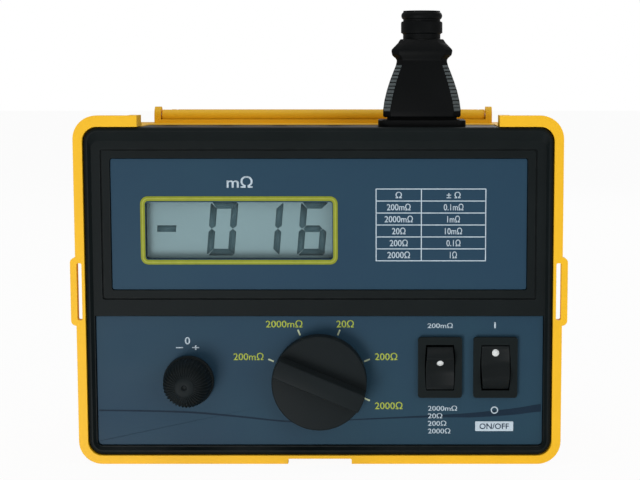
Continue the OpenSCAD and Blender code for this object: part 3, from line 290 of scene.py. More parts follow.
@dataclass(frozen=True)
class Finish:
    """What every finish has: a name, and a material that is built once."""

    name: str

    def material(self) -> Material:
        """Gives the finish's material, under a name that no material of the loaded frame has.

        Returns:
            The material, built at its first use.
        """
        label = f"{self.name}_finish"
        made = bpy.data.materials.get(label)
        if made is None:
            made = bpy.data.materials.new(label)
            made.use_nodes = True
            sheet = NodeSheet(made.node_tree)
            shader = sheet.add("ShaderNodeBsdfPrincipled")
            self.dress(sheet, shader)
            sheet.add("ShaderNodeOutputMaterial", {0: shader.outputs[0]})
        return made

    def dress(self, sheet: NodeSheet, shader: Node) -> None:
        """Sets the shader's sockets. Each kind of finish has its own way.

        Args:
            sheet: the material's nodes.
            shader: the shader to dress.
        """
        raise NotImplementedError

    def effect(self, sheet: NodeSheet, which: SharedEffect, **values: float) -> Node:
        """Places a shared effect with its own values.

        Args:
            sheet: the material's nodes.
            which: the effect.
            values: its inputs' values, the words of an input's name joined by _.

        Returns:
            The effect's node.
        """
        made = sheet.add("ShaderNodeGroup", node_tree=which.tree())
        for key, value in values.items():
            made.inputs[key.replace("_", " ").title()].default_value = value
        return made

    def bump(self, sheet: NodeSheet, shader: Node, height: NodeSocket, depth_mm: float) -> None:
        """Joins a height to the shader's normal."""
        raised = sheet.add("ShaderNodeBump", {"Height": height, "Distance": depth_mm * MM, "Strength": 1.0})
        sheet.join(raised.outputs[0], shader.inputs["Normal"])

    def rough(self, sheet: NodeSheet, shader: Node, mask: NodeSocket, span: Point, levels: Point) -> None:
        """Lets the roughness follow a mask: the mask's span goes to the two levels."""
        sheet.join(sheet.ramp(mask, *span, *levels), shader.inputs["Roughness"])


@dataclass(frozen=True)
class Moulding(Finish):
    """Moulded plastic: grain, slow mottling, rubbed edges and a trace of dust."""

    colour: Colour
    roughness: float = 0.5
    grain: float = 2200.0
    depth_mm: float = 0.02
    mottle: float = 0.08
    rub: float = 0.2
    dust: float = 0.03
    specular: float = 0.35
    dust_colour: Colour = (0.55, 0.53, 0.5)
    rubbed_paler: float = 0.12

    def dress(self, sheet: NodeSheet, shader: Node) -> None:
        """Mixes the base colour with its darker, rubbed and dusty shades.

        Args:
            sheet: the material's nodes.
            shader: the shader to dress.
        """
        grain = self.effect(sheet, SharedEffect.MOULD_GRAIN, grain_scale=self.grain)
        edge = self.effect(sheet, SharedEffect.RUBBED_EDGE, amount=self.rub)
        dust = self.effect(sheet, SharedEffect.SETTLED_DUST, amount=self.dust)
        mottle = grain.outputs["Mottle"]
        paler = tuple(c + (1 - c) * self.rubbed_paler for c in self.colour)
        base = sheet.blend(mottle, opaque(self.colour, 1 - self.mottle), opaque(self.colour))
        worn = sheet.blend(edge.outputs["Mask"], base, opaque(paler))
        dusty = sheet.blend(dust.outputs["Mask"], worn, opaque(self.dust_colour))
        sheet.join(dusty, shader.inputs["Base Color"])
        self.rough(sheet, shader, mottle, (0.0, 1.0), (self.roughness * 0.93, self.roughness * 1.07))
        shader.inputs["Specular IOR Level"].default_value = self.specular
        self.bump(sheet, shader, grain.outputs["Height"], self.depth_mm)


@dataclass(frozen=True)
class PrintedFilm(Finish):
    """Screen-printed film: a blue that shifts slowly, and a fine orange-peel surface."""

    colour: Colour
    other: Colour
    roughness: float = 0.42
    specular: float = 0.12
    dust_colour: Colour = (0.4, 0.4, 0.4)

    def dress(self, sheet: NodeSheet, shader: Node) -> None:
        """Shifts between the film's two shades over the panel.

        Args:
            sheet: the material's nodes.
            shader: the shader to dress.
        """
        grain = self.effect(sheet, SharedEffect.MOULD_GRAIN, grain_scale=1500.0, mottle_scale=18.0)
        peel = self.effect(sheet, SharedEffect.FINE_SCRATCH, scale=40.0, stretch=2.0)
        dust = self.effect(sheet, SharedEffect.SETTLED_DUST, amount=0.05)
        shade = sheet.blend(grain.outputs["Mottle"], opaque(self.colour), opaque(self.other))
        dusty = sheet.blend(dust.outputs["Mask"], shade, opaque(self.dust_colour))
        sheet.join(dusty, shader.inputs["Base Color"])
        levels = (self.roughness * 0.92, self.roughness * 1.08)
        self.rough(sheet, shader, peel.outputs["Height"], (0.3, 0.7), levels)
        shader.inputs["Specular IOR Level"].default_value = self.specular
        self.bump(sheet, shader, grain.outputs["Height"], 0.006)


@dataclass(frozen=True)
class Ink(Finish):
    """Screen-printed ink with a slightly uneven film."""

    colour: Colour
    roughness: float = 0.5
    specular: float = 0.12
    thin_share: float = 0.88

    def dress(self, sheet: NodeSheet, shader: Node) -> None:
        """Varies the ink's density a little.

        Args:
            sheet: the material's nodes.
            shader: the shader to dress.
        """
        grain = self.effect(sheet, SharedEffect.MOULD_GRAIN, grain_scale=1800.0, mottle_scale=500.0)
        thin = opaque(self.colour, self.thin_share)
        shade = sheet.blend(grain.outputs["Mottle"], thin, opaque(self.colour))
        sheet.join(shade, shader.inputs["Base Color"])
        shader.inputs["Roughness"].default_value = self.roughness
        shader.inputs["Specular IOR Level"].default_value = self.specular
        self.bump(sheet, shader, grain.outputs["Height"], 0.003)


@dataclass(frozen=True)
class CrystalGlass(Finish):
    """Liquid crystal glass over its grey-green reflector."""

    colour: Colour
    other: Colour
    roughness: float = 0.35
    specular: float = 0.3

    def dress(self, sheet: NodeSheet, shader: Node) -> None:
        """Shifts between two grey-greens under a smooth polariser.

        Args:
            sheet: the material's nodes.
            shader: the shader to dress.
        """
        grain = self.effect(sheet, SharedEffect.MOULD_GRAIN, grain_scale=900.0, mottle_scale=22.0)
        shade = sheet.blend(grain.outputs["Mottle"], opaque(self.colour), opaque(self.other))
        sheet.join(shade, shader.inputs["Base Color"])
        shader.inputs["Roughness"].default_value = self.roughness
        shader.inputs["Specular IOR Level"].default_value = self.specular
        self.bump(sheet, shader, grain.outputs["Height"], 0.004)


@dataclass(frozen=True)
class ClearPane(Finish):
    """Clear acrylic window with faint wiping marks."""

    colour: Colour = (0.3, 0.34, 0.33)
    alpha: float = 0.03
    specular: float = 0.3

    def dress(self, sheet: NodeSheet, shader: Node) -> None:
        """Sets a mostly see-through gloss.

        Args:
            sheet: the material's nodes.
            shader: the shader to dress.
        """
        marks = self.effect(sheet, SharedEffect.FINE_SCRATCH, scale=25.0, stretch=12.0)
        self.rough(sheet, shader, marks.outputs["Height"], (0.35, 0.7), (0.05, 0.14))
        shader.inputs["Base Color"].default_value = opaque(self.colour)
        shader.inputs["Specular IOR Level"].default_value = self.specular
        shader.inputs["Alpha"].default_value = self.alpha


@dataclass(frozen=True)
class Metal(Finish):
    """Plated or bare metal with hairline scratches."""

    colour: Colour
    roughness: float = 0.3
    dull_share: float = 0.8

    def dress(self, sheet: NodeSheet, shader: Node) -> None:
        """Sets a scratched metal.

        Args:
            sheet: the material's nodes.
            shader: the shader to dress.
        """
        scratch = self.effect(sheet, SharedEffect.FINE_SCRATCH, scale=90.0, stretch=25.0)
        grain = self.effect(sheet, SharedEffect.MOULD_GRAIN, mottle_scale=200.0)
        dull = opaque(self.colour, self.dull_share)
        shade = sheet.blend(grain.outputs["Mottle"], dull, opaque(self.colour))
        sheet.join(shade, shader.inputs["Base Color"])
        shader.inputs["Metallic"].default_value = 1.0
        levels = (self.roughness * 0.7, self.roughness * 1.3)
        self.rough(sheet, shader, scratch.outputs["Height"], (0.3, 0.7), levels)
        self.bump(sheet, shader, scratch.outputs["Height"], 0.004)


CASE_YELLOW = Moulding("case_yellow", srgb(247, 191, 34), roughness=0.45, grain=2400, depth_mm=0.012,
                       mottle=0.05, rub=0.1, specular=0.2)
FRAME_BLACK = Moulding("frame_black", srgb(20, 26, 27), roughness=0.42, depth_mm=0.015, mottle=0.15,
                       rub=0.06, dust=0.01, specular=0.08)
KNOB_BLACK = Moulding("knob_black", srgb(25, 31, 33), roughness=0.5, grain=2600, depth_mm=0.015,
                      mottle=0.12, rub=0.08, dust=0.01, specular=0.08)
SWITCH_BLACK = Moulding("switch_black", srgb(19, 26, 27), roughness=0.4, grain=3200, depth_mm=0.006,
                        mottle=0.1, rub=0.06, dust=0.01, specular=0.08)
ROCKER_GREY = Moulding("rocker_grey", srgb(24, 28, 29), roughness=0.42, grain=3200, depth_mm=0.006,
                       mottle=0.1, rub=0.06, dust=0.01, specular=0.08)
# Paler copy of the plug's black for the grip's ridges: a painted highlight where the side facets catch the
# light
PLUG_PAINTED_HIGHLIGHT = Moulding("plug_painted_highlight", srgb(84, 92, 94), roughness=0.38, grain=1800, depth_mm=0.015,
                     mottle=0.15, rub=0.06, dust=0.01, specular=0.25)
PLUG_BLACK = Moulding("plug_black", srgb(8, 10, 11), roughness=0.5, grain=1800, depth_mm=0.02,
                      mottle=0.15, rub=0.06, dust=0.01, specular=0.08)
BOARD_GREEN = Moulding("board_green", srgb(20, 90, 55), roughness=0.35, grain=900, depth_mm=0.01,
                       mottle=0.25, rub=0.0)
PART_DARK = Moulding("part_dark", srgb(38, 38, 42), roughness=0.45, mottle=0.1, rub=0.1)
STRIP_PINK = Moulding("strip_pink", srgb(180, 140, 140), roughness=0.7, mottle=0.1, rub=0.0)
WINDING_BROWN = Moulding("winding_brown", srgb(170, 110, 40), roughness=0.4, grain=500, depth_mm=0.05,
                         mottle=0.25, rub=0.0)
SHAFT_GREY = Moulding("shaft_grey", srgb(190, 190, 180), roughness=0.5, mottle=0.1, rub=0.1)
PANEL_BLUE = PrintedFilm("panel_blue", srgb(36, 64, 85), srgb(38, 68, 87))
PANEL_LOW_BLUE = PrintedFilm("panel_low_blue", srgb(35, 62, 82), srgb(37, 67, 84))
INK_PALE = Ink("ink_pale", srgb(196, 212, 224))
INK_DIAL = Ink("ink_dial", srgb(178, 192, 84))
INK_TICK = Ink("ink_tick", srgb(190, 202, 170))
INK_RING = Ink("ink_ring", srgb(142, 150, 46))
INK_RING_PALE = Ink("ink_ring_pale", srgb(166, 172, 76))
INK_WAVE = Ink("ink_wave", srgb(18, 40, 58))
INK_DARK = Ink("ink_dark", srgb(40, 60, 82))
DOT_WHITE = Ink("dot_white", srgb(232, 236, 236))
SEGMENT_DARK = Ink("segment_dark", srgb(64, 92, 100))
CRYSTAL = CrystalGlass("crystal_glass", srgb(125, 154, 160), srgb(131, 161, 167))
WINDOW = ClearPane("window_clear")
FUSE_GLASS = ClearPane("fuse_glass", alpha=0.6)
STEEL = Metal("zinc_steel", srgb(190, 190, 192))
BRASS = Metal("plain_brass", srgb(205, 170, 90), roughness=0.28)

# The CAD nodes that stay in view as they are, by their finish
PLAIN_NODES: dict[Finish, tuple[str, ...]] = {
    WINDOW: ("display_window",),
    CRYSTAL: ("display_glass",),
    FUSE_GLASS: ("fuse",),
    SWITCH_BLACK: ("display_holder",),
    STRIP_PINK: ("contact_strips",),
    BOARD_GREEN: ("display_board", "main_board"),
    WINDING_BROWN: ("transformer_coil",),
    PART_DARK: ("converter_chip", "smoothing_capacitors", "range_resistors", "range_switch_body"),
    SHAFT_GREY: ("range_switch_shaft", "zero_pot_shaft"),
    PLUG_BLACK: ("test_sockets", "connector_nose"),
    BRASS: ("board_spacers", "fuse_clips", "range_rocker_terminals", "power_rocker_terminals",
            "socket_contacts", "connector_contacts"),
    STEEL: ("board_screws", "transformer_core", "range_switch_nut", "zero_pot_body", "zero_pot_nut",
            "inlet_pins", "socket_nuts", "case_screws", "case_hinge_rod", "lid_hinge_rod",
            "range_knob_screw", "connector_screw"),
}


# Mesh making


class MeshShop:
    """Makes meshes in millimetres of the case's frame."""

    @staticmethod
    def rounded(width: float, height: float, radius: float, steps: int = 6) -> list[Point]:
        """Gives the outline of a rounded rectangle about the origin, counter-clockwise.

        Args:
            width: its whole width.
            height: its whole height.
            radius: radius of its corners.
            steps: steps in each corner.

        Returns:
            The outline's points.
        """
        out: list[Point] = []
        for sx, sy, start in ((1, 1, 0), (-1, 1, 90), (-1, -1, 180), (1, -1, 270)):
            cx, cy = sx * (width / 2 - radius), sy * (height / 2 - radius)
            for i in range(steps + 1):
                a = math.radians(start + 90 * i / steps)
                out.append((cx + radius * math.cos(a), cy + radius * math.sin(a)))
        return out

    @staticmethod
    def circle(radius: float, steps: int) -> list[Point]:
        """Gives the outline of a circle about the origin."""
        turns = [2 * math.pi * i / steps for i in range(steps)]
        return [(radius * math.cos(a), radius * math.sin(a)) for a in turns]

    @staticmethod
    def loft(rings: Sequence[Ring]) -> BMesh:
        """Skins rings of equal count, and gives the first and the last a face.

        Args:
            rings: the rings, one after another.

        Returns:
            The new mesh with its normals outwards.
        """
        bm = bmesh.new()
        rows = [[bm.verts.new(p) for p in ring] for ring in rings]
        count = len(rings[0])
        for low, high in zip(rows, rows[1:]):
            for j in range(count):
                k = (j + 1) % count
                bm.faces.new((low[j], low[k], high[k], high[j]))
        bm.faces.new(list(reversed(rows[0])))
        bm.faces.new(rows[-1])
        bmesh.ops.remove_doubles(bm, verts=bm.verts, dist=WELD)
        bmesh.ops.recalc_face_normals(bm, faces=bm.faces)
        return bm

    @classmethod
    def lathe(cls, profile: Sequence[Point], centre: Vector, around_h: bool = False,
              steps: int = 96) -> BMesh:
        """Turns a profile of (radius, place along the axis).

        Args:
            profile: the points from one end of the axis to the other.
            centre: a point on the axis.
            around_h: whether the axis runs along h, and not along d.
            steps: how many sides the turned form gets.

        Returns:
            The turned mesh.
        """
        rings = []
        for radius, along in profile:
            around = cls.circle(radius, steps)
            rings.append([centre + Vector((u, v, along) if around_h else (u, along, v)) for u, v in around])
        return cls.loft(rings)

    @classmethod
    def slab(cls, outline: Sequence[Point], front: float, back: float, at: Point = (0, 0)) -> BMesh:
        """Makes a plate of an outline in x and h, from depth front to depth back."""
        return cls.loft([[Vector((x + at[0], d, h + at[1])) for x, h in outline] for d in (front, back)])

    @staticmethod
    def band(outer: Sequence[Point], inner: Sequence[Point], front: float, back: float, at: Point) -> BMesh:
        """Makes a flat ring between two outlines of equal count.

        Args:
            outer: the outer outline, in x and h.
            inner: the inner outline.
            front: depth of its front.
            back: depth of its back.
            at: where the outlines' origin stands.

        Returns:
            The ring.
        """
        bm = bmesh.new()
        rows = [[bm.verts.new((x + at[0], d, h + at[1])) for x, h in line]
                for line, d in ((outer, front), (inner, front), (inner, back), (outer, back))]
        count = len(outer)
        for one, other in zip(rows, rows[1:] + rows[:1]):
            for j in range(count):
                k = (j + 1) % count
                bm.faces.new((one[j], one[k], other[k], other[j]))
        bmesh.ops.recalc_face_normals(bm, faces=bm.faces)
        return bm

    @staticmethod
    def join(parts: Iterable[BMesh]) -> BMesh:
        """Puts several meshes into one, and frees them.

        Args:
            parts: the meshes.

        Returns:
            The one mesh.
        """
        whole = bmesh.new()
        for part in parts:
            scratch = bpy.data.meshes.new("scratch")
            part.to_mesh(scratch)
            part.free()
            whole.from_mesh(scratch)
            bpy.data.meshes.remove(scratch)
        return whole

    @staticmethod
    def moved(bm: BMesh, matrix: Matrix) -> BMesh:
        """Applies a matrix to a mesh and gives it back."""
        bmesh.ops.transform(bm, matrix=matrix, verts=bm.verts)
        return bm


def linked(name: str, data: ID) -> Object:
    """Makes an object with its data and links it to the scene.

    Args:
        name: the object's name.
        data: its mesh, curve, camera or light.

    Returns:
        The object.
    """
    made = bpy.data.objects.new(name, data)
    bpy.context.scene.collection.objects.link(made)
    return made


def mesh_object(name: str, bm: BMesh, material: Optional[Material] = None) -> Object:
    """Makes an object of a mesh.

    Args:
        name: the object's name.
        bm: its mesh in metres of the model's frame, freed here.
        material: its material.

    Returns:
        The object.
    """
    mesh = bpy.data.meshes.new(name)
    bm.to_mesh(mesh)
    bm.free()
    if material is not None:
        mesh.materials.append(material)
    return linked(name, mesh)


def evaluated_mesh(obj: Object) -> bpy.types.Mesh:
    """Gives a new mesh of what an object's modifiers or its curve make.

    Args:
        obj: the object.

    Returns:
        The mesh.
    """
    bpy.context.view_layer.update()
    graph = bpy.context.evaluated_depsgraph_get()
    return bpy.data.meshes.new_from_object(obj.evaluated_get(graph))


def baked(obj: Object) -> Object:
    """Turns an object's modifiers into its mesh.

    Args:
        obj: the object.

    Returns:
        The same object, without its modifiers.
    """
    mesh = evaluated_mesh(obj)
    obj.modifiers.clear()
    obj.data = mesh
    return obj


# Trees that repeat one piece


class Pattern(Enum):
    """How copies of one piece are set out."""

    RING = "ring"
    ROW = "row"


@dataclass(frozen=True)
class CopyTree:
    """Geometry Nodes tree that sets out copies of one piece in a ring about d, or in a row."""

    pattern: Pattern

    def tree(self) -> NodeTree:
        """Gives the tree, built at its first use."""
        name = f"copies_in_a_{self.pattern.value}"
        return bpy.data.node_groups.get(name) or self.build(name)

    def build(self, name: str) -> NodeTree:
        """Builds the tree: points, the piece on each, real copies, and their finish.

        Args:
            name: the tree's name.

        Returns:
            The tree.
        """
        tree = bpy.data.node_groups.new(name, "GeometryNodeTree")
        kinds = {"Piece": "Geometry", "Count": "Int", "Start": "Vector", "Step": "Vector",
                 "First Turn": "Float", "Turn Step": "Float", "Finish": "Material"}
        for label, kind in kinds.items():
            tree.interface.new_socket(label, in_out="INPUT", socket_type=f"NodeSocket{kind}")
        tree.interface.new_socket("Copies", in_out="OUTPUT", socket_type="NodeSocketGeometry")
        sheet = NodeSheet(tree)
        given = sheet.add("NodeGroupInput").outputs
        index = sheet.add("GeometryNodeInputIndex").outputs[0]
        offset = sheet.add("ShaderNodeVectorMath", {0: given["Step"], "Scale": index}, operation="SCALE")
        sum_of = {0: given["Start"], 1: offset.outputs[0]}
        spot = sheet.add("ShaderNodeVectorMath", sum_of, operation="ADD").outputs[0]
        points = sheet.add("GeometryNodePoints", {"Count": given["Count"], "Position": spot}).outputs[0]
        setting = {"Points": points, "Instance": given["Piece"]}
        if self.pattern is Pattern.RING:
            turn = sheet.maths("ADD", given["First Turn"], sheet.maths("MULTIPLY", index, given["Turn Step"]))
            euler = sheet.add("ShaderNodeCombineXYZ", {1: turn}).outputs[0]
            setting["Rotation"] = sheet.add("FunctionNodeEulerToRotation", {0: euler}).outputs[0]
        copies = sheet.add("GeometryNodeInstanceOnPoints", setting).outputs[0]
        real = sheet.add("GeometryNodeRealizeInstances", {0: copies}).outputs[0]
        finish = {"Geometry": real, "Material": given["Finish"]}
        dressed = sheet.add("GeometryNodeSetMaterial", finish).outputs[0]
        sheet.add("NodeGroupOutput", {"Copies": dressed})
        return tree

    def copies(self, name: str, unit: BMesh, finish: Finish, count: int, start: Vector,
               step: Vector = Vector((0, 0, 0)), first: float = 0.0, turn: float = 0.0) -> Object:
        """Sets out copies of a piece that is made about the origin.

        Args:
            name: name of the object with the copies.
            unit: the piece, in millimetres.
            finish: its finish.
            count: how many copies.
            start: where the first stands, in the case's frame.
            step: from one copy to the next.
            first: turn of the first copy about d, in degrees, clockwise seen from the front.
            turn: from one copy's turn to the next.

        Returns:
            An object that holds plain copies.
        """
        bmesh.ops.scale(unit, vec=(MM, MM, MM), verts=unit.verts)
        host = mesh_object(name, unit)
        modifier = host.modifiers.new("copies", "NODES")
        modifier.node_group = self.tree()
        values = {"Count": count, "Start": place(*start), "Step": step * MM, "Finish": finish.material(),
                  "First Turn": math.radians(first), "Turn Step": math.radians(turn)}
        for item in modifier.node_group.interface.items_tree:
            if item.item_type == "SOCKET" and item.in_out == "INPUT" and item.name in values:
                modifier[item.identifier] = values[item.name]
        return baked(host)


class Bench:
    """Holds the loaded frame, and turns meshes into pieces of the visual model."""

    # What a CAD node's mesh is cleaned by: the gap that is welded and the gap that is levelled, in metres,
    # the turn below which two faces are one, in degrees, and how nearly a face looks along an axis
    cad_weld: float = 2e-6
    level_gap: float = 3e-5
    flat_turn: float = 0.6
    level_share: float = 0.9999
    # Edges of a softened node that turn further than this, in degrees, stay sharp
    softened_sharp: float = 20.0

    def __init__(self, frame: dict) -> None:
        """Keeps the frame."""
        self.frame = frame
        self.count = 0

    def enter(self, obj: Object, body: str, instead_of: Sequence[str] = (),
              sharp: float = 35.0) -> Object:
        """Shades a finished object, sets it on its body and hides the CAD nodes that it stands for.

        Args:
            obj: the object, with its place in its mesh.
            body: the body that it rides on.
            instead_of: CAD nodes that it stands for.
            sharp: edges that turn further than this, in degrees, stay sharp.

        Returns:
            The object.
        """
        obj.data.polygons.foreach_set("use_smooth", [True] * len(obj.data.polygons))
        obj.data.set_sharp_from_angle(angle=math.radians(sharp))
        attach(obj, body)
        for node in instead_of:
            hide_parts(node)
        self.count += 1
        LOG.info("piece %s on %s, %d faces", obj.name, body, len(obj.data.polygons))
        return obj

    def add(self, name: str, bm: BMesh, finish: Finish, body: str, slot: str, instead_of: Sequence[str] = (),
            bevel: float = 0.0, sharp: float = 35.0) -> Object:
        """Makes a piece from a mesh in the case's frame, in millimetres.

        Args:
            name: the piece's name.
            bm: its mesh, freed here.
            finish: its finish.
            body: the body that it rides on.
            slot: the record's material slot; not used.
            instead_of: CAD nodes that it stands for.
            bevel: radius of its rounded edges, or 0.
            sharp: edges that turn further than this, in degrees, stay sharp.

        Returns:
            The piece.
        """
        shift = Matrix.Translation(place(0, 0, 0)) @ Matrix.Scale(MM, 4)
        obj = mesh_object(name, MeshShop.moved(bm, shift), finish.material())
        if bevel:
            self.round_edges(obj, bevel)
        return self.enter(obj, body, instead_of, sharp)

    def printed(self, name: str, bm: BMesh, finish: Finish, bevel: float = 0.0,
                sharp: float = 180.0) -> Object:
        """Makes a print on the panels, in the way of add."""
        return self.add(name, bm, finish, "case", "panel_blue", bevel=bevel, sharp=sharp)

    @staticmethod
    def round_edges(obj: Object, radius: float, segments: int = 3, least_turn: float = 32.0) -> None:
        """Rounds an object's edges.

        Args:
            obj: the object.
            radius: radius of the edges, in millimetres.
            segments: steps in a rounded edge.
            least_turn: the least turn of an edge that is rounded, in degrees.
        """
        cut = obj.modifiers.new("rounded_edges", "BEVEL")
        cut.width = radius * MM
        cut.segments = segments
        cut.limit_method = "ANGLE"
        cut.angle_limit = math.radians(least_turn)
        cut.use_clamp_overlap = True
        cut.miter_outer = "MITER_ARC"
        baked(obj)

    def softened(self, node: str, name: str, finish: Finish, body: str, radius: float,
                 segments: int = 2) -> Object:
        """Makes a piece from a CAD node's own form with its edges rounded, and stands it in for the node.

        Args:
            node: the CAD node.
            name: the piece's name.
            finish: its finish.
            body: the body that it rides on.
            radius: radius of the rounded edges, in millimetres.
            segments: steps in a rounded edge.

        Returns:
            The piece.
        """
        bm = bmesh.new()
        bm.from_mesh(self.frame["nodes"][node].data)
        bmesh.ops.remove_doubles(bm, verts=bm.verts, dist=self.cad_weld)
        bmesh.ops.dissolve_limit(bm, angle_limit=math.radians(self.flat_turn), verts=bm.verts, edges=bm.edges,
                                 delimit=set())
        obj = mesh_object(name, bm, finish.material())
        self.round_edges(obj, radius, segments)
        self.level_faces(obj)
        self.enter(obj, body, (node,), sharp=self.softened_sharp)
        curved = [self.level_axis(face.normal) is None for face in obj.data.polygons]
        obj.data.polygons.foreach_set("use_smooth", curved)
        return obj

    @classmethod
    def level_axis(cls, normal: Vector) -> Optional[int]:
        """Gives the axis that a face looks along, or None where it leans."""
        axis = max(range(3), key=lambda i: abs(normal[i]))
        return axis if abs(normal[axis]) >= cls.level_share else None

    @classmethod
    def level_faces(cls, obj: Object) -> None:
        """Lays each face that looks along an axis in one plane, and cuts it into well-shaped triangles.

        Args:
            obj: the object whose mesh is changed.
        """
        bm = bmesh.new()
        bm.from_mesh(obj.data)
        level = []
        for face in bm.faces:
            axis = cls.level_axis(face.normal)
            if axis is None:
                continue
            places = sorted(v.co[axis] for v in face.verts)
            middle = places[len(places) // 2]
            for v in face.verts:
                if abs(v.co[axis] - middle) < cls.level_gap:
                    v.co[axis] = middle
            level.append(face)
        wide = [face for face in level if len(face.verts) > 4]
        bmesh.ops.triangulate(bm, faces=wide, quad_method="BEAUTY", ngon_method="BEAUTY")
        bm.to_mesh(obj.data)
        bm.free()

    def dress_nodes(self, finishes: dict[Finish, tuple[str, ...]]) -> None:
        """Gives each CAD node that stays in view its finish.

        Args:
            finishes: the finishes, each with the nodes that wear it.
        """
        for finish, nodes in finishes.items():
            for node in nodes:
                worn = self.frame["nodes"][node].data.materials
                worn.clear()
                worn.append(finish.material())
                LOG.info("node %s dressed in %s", node, finish.name)


# Lettering


@dataclass(frozen=True)
class Letters:
    """One line of plain lettering, fitted into a box on a panel."""

    text: str
    low: Point
    high: Point
    weight: float = 0.012
    curve_steps: int = 4

    @classmethod
    def centred(cls, text: str, middle: Point, half: Point) -> Letters:
        """Fits a line about the middle of a box, given half the box's width and height."""
        (x, h), (half_w, half_h) = middle, half
        return cls(text, (x - half_w, h - half_h), (x + half_w, h + half_h))

    def mesh(self, depth: float = PANEL_D) -> BMesh:
        """Makes the letters as a thin film.

        Args:
            depth: where the film's back lies.

        Returns:
            The letters in the case's frame, in millimetres.
        """
        curve = bpy.data.curves.new("letters", "FONT")
        curve.body = self.text
        curve.offset = self.weight
        curve.resolution_u = self.curve_steps
        holder = linked("letters", curve)
        flat = evaluated_mesh(holder)
        bm = bmesh.new()
        bm.from_mesh(flat)
        bpy.data.objects.remove(holder)
        bpy.data.curves.remove(curve)
        bpy.data.meshes.remove(flat)
        bmesh.ops.remove_doubles(bm, verts=bm.verts, dist=WELD)
        xs = [v.co.x for v in bm.verts]
        ys = [v.co.y for v in bm.verts]
        sx = (self.high[0] - self.low[0]) / (max(xs) - min(xs))
        sy = (self.high[1] - self.low[1]) / (max(ys) - min(ys))
        for v in bm.verts:
            x, h = self.low[0] + (v.co.x - min(xs)) * sx, self.low[1] + (v.co.y - min(ys)) * sy
            v.co = Vector((x, depth, h))
        walls = bmesh.ops.extrude_face_region(bm, geom=bm.faces[:])
        for item in walls["geom"]:
            if isinstance(item, BMVert):
                item.co.y -= INK
        bmesh.ops.recalc_face_normals(bm, faces=bm.faces)
        bm.verts.sort(key=lambda v: self.rank(v.co))
        bm.edges.sort(key=lambda edge: self.rank(edge.verts[0].co + edge.verts[1].co))
        bm.faces.sort(key=lambda face: self.rank(face.calc_center_median()))
        return bm

    @staticmethod
    def rank(spot: Vector) -> float:
        """Ranks a place, so that corners, edges and faces come in the same order each run."""
        return spot.x * 1e4 + spot.z * 1e2 + spot.y


# Sub-assemblies


@dataclass(frozen=True)
class Box:
    """Upright box in x and h."""

    low: Point
    high: Point

    @property
    def size(self) -> Point:
        """Gives its width and height."""
        return (self.high[0] - self.low[0], self.high[1] - self.low[1])

    @property
    def middle(self) -> Point:
        """Gives its middle."""
        return ((self.low[0] + self.high[0]) / 2, (self.low[1] + self.high[1]) / 2)


@dataclass
class CarryCase:
    """Yellow case with its link and lid."""

    edge: float = 0.5
    thin_edge: float = 0.3

    def build(self, bench: Bench) -> None:
        """Rounds the mouldings' edges.

        Args:
            bench: where the pieces are made.
        """
        bench.softened("case_shell", "carry_case", CASE_YELLOW, "case", self.edge, segments=3)
        bench.softened("hinge_link", "folded_link", CASE_YELLOW, "hinge_link", self.thin_edge)
        bench.softened("lid", "folded_lid", CASE_YELLOW, "lid", self.edge, segments=3)


def smooth_value(around: Sequence[float], t: float) -> float:
    """Gives a value on the smooth curve through four values.

    Args:
        around: the four values.
        t: how far it is from the second value to the third, from 0 to 1.

    Returns:
        The value.
    """
    before, start, end, after = around
    bend = 2 * before - 5 * start + 4 * end - after
    twist = 3 * start - before - 3 * end + after
    return 0.5 * (2 * start + (end - before) * t + bend * t * t + twist * t ** 3)


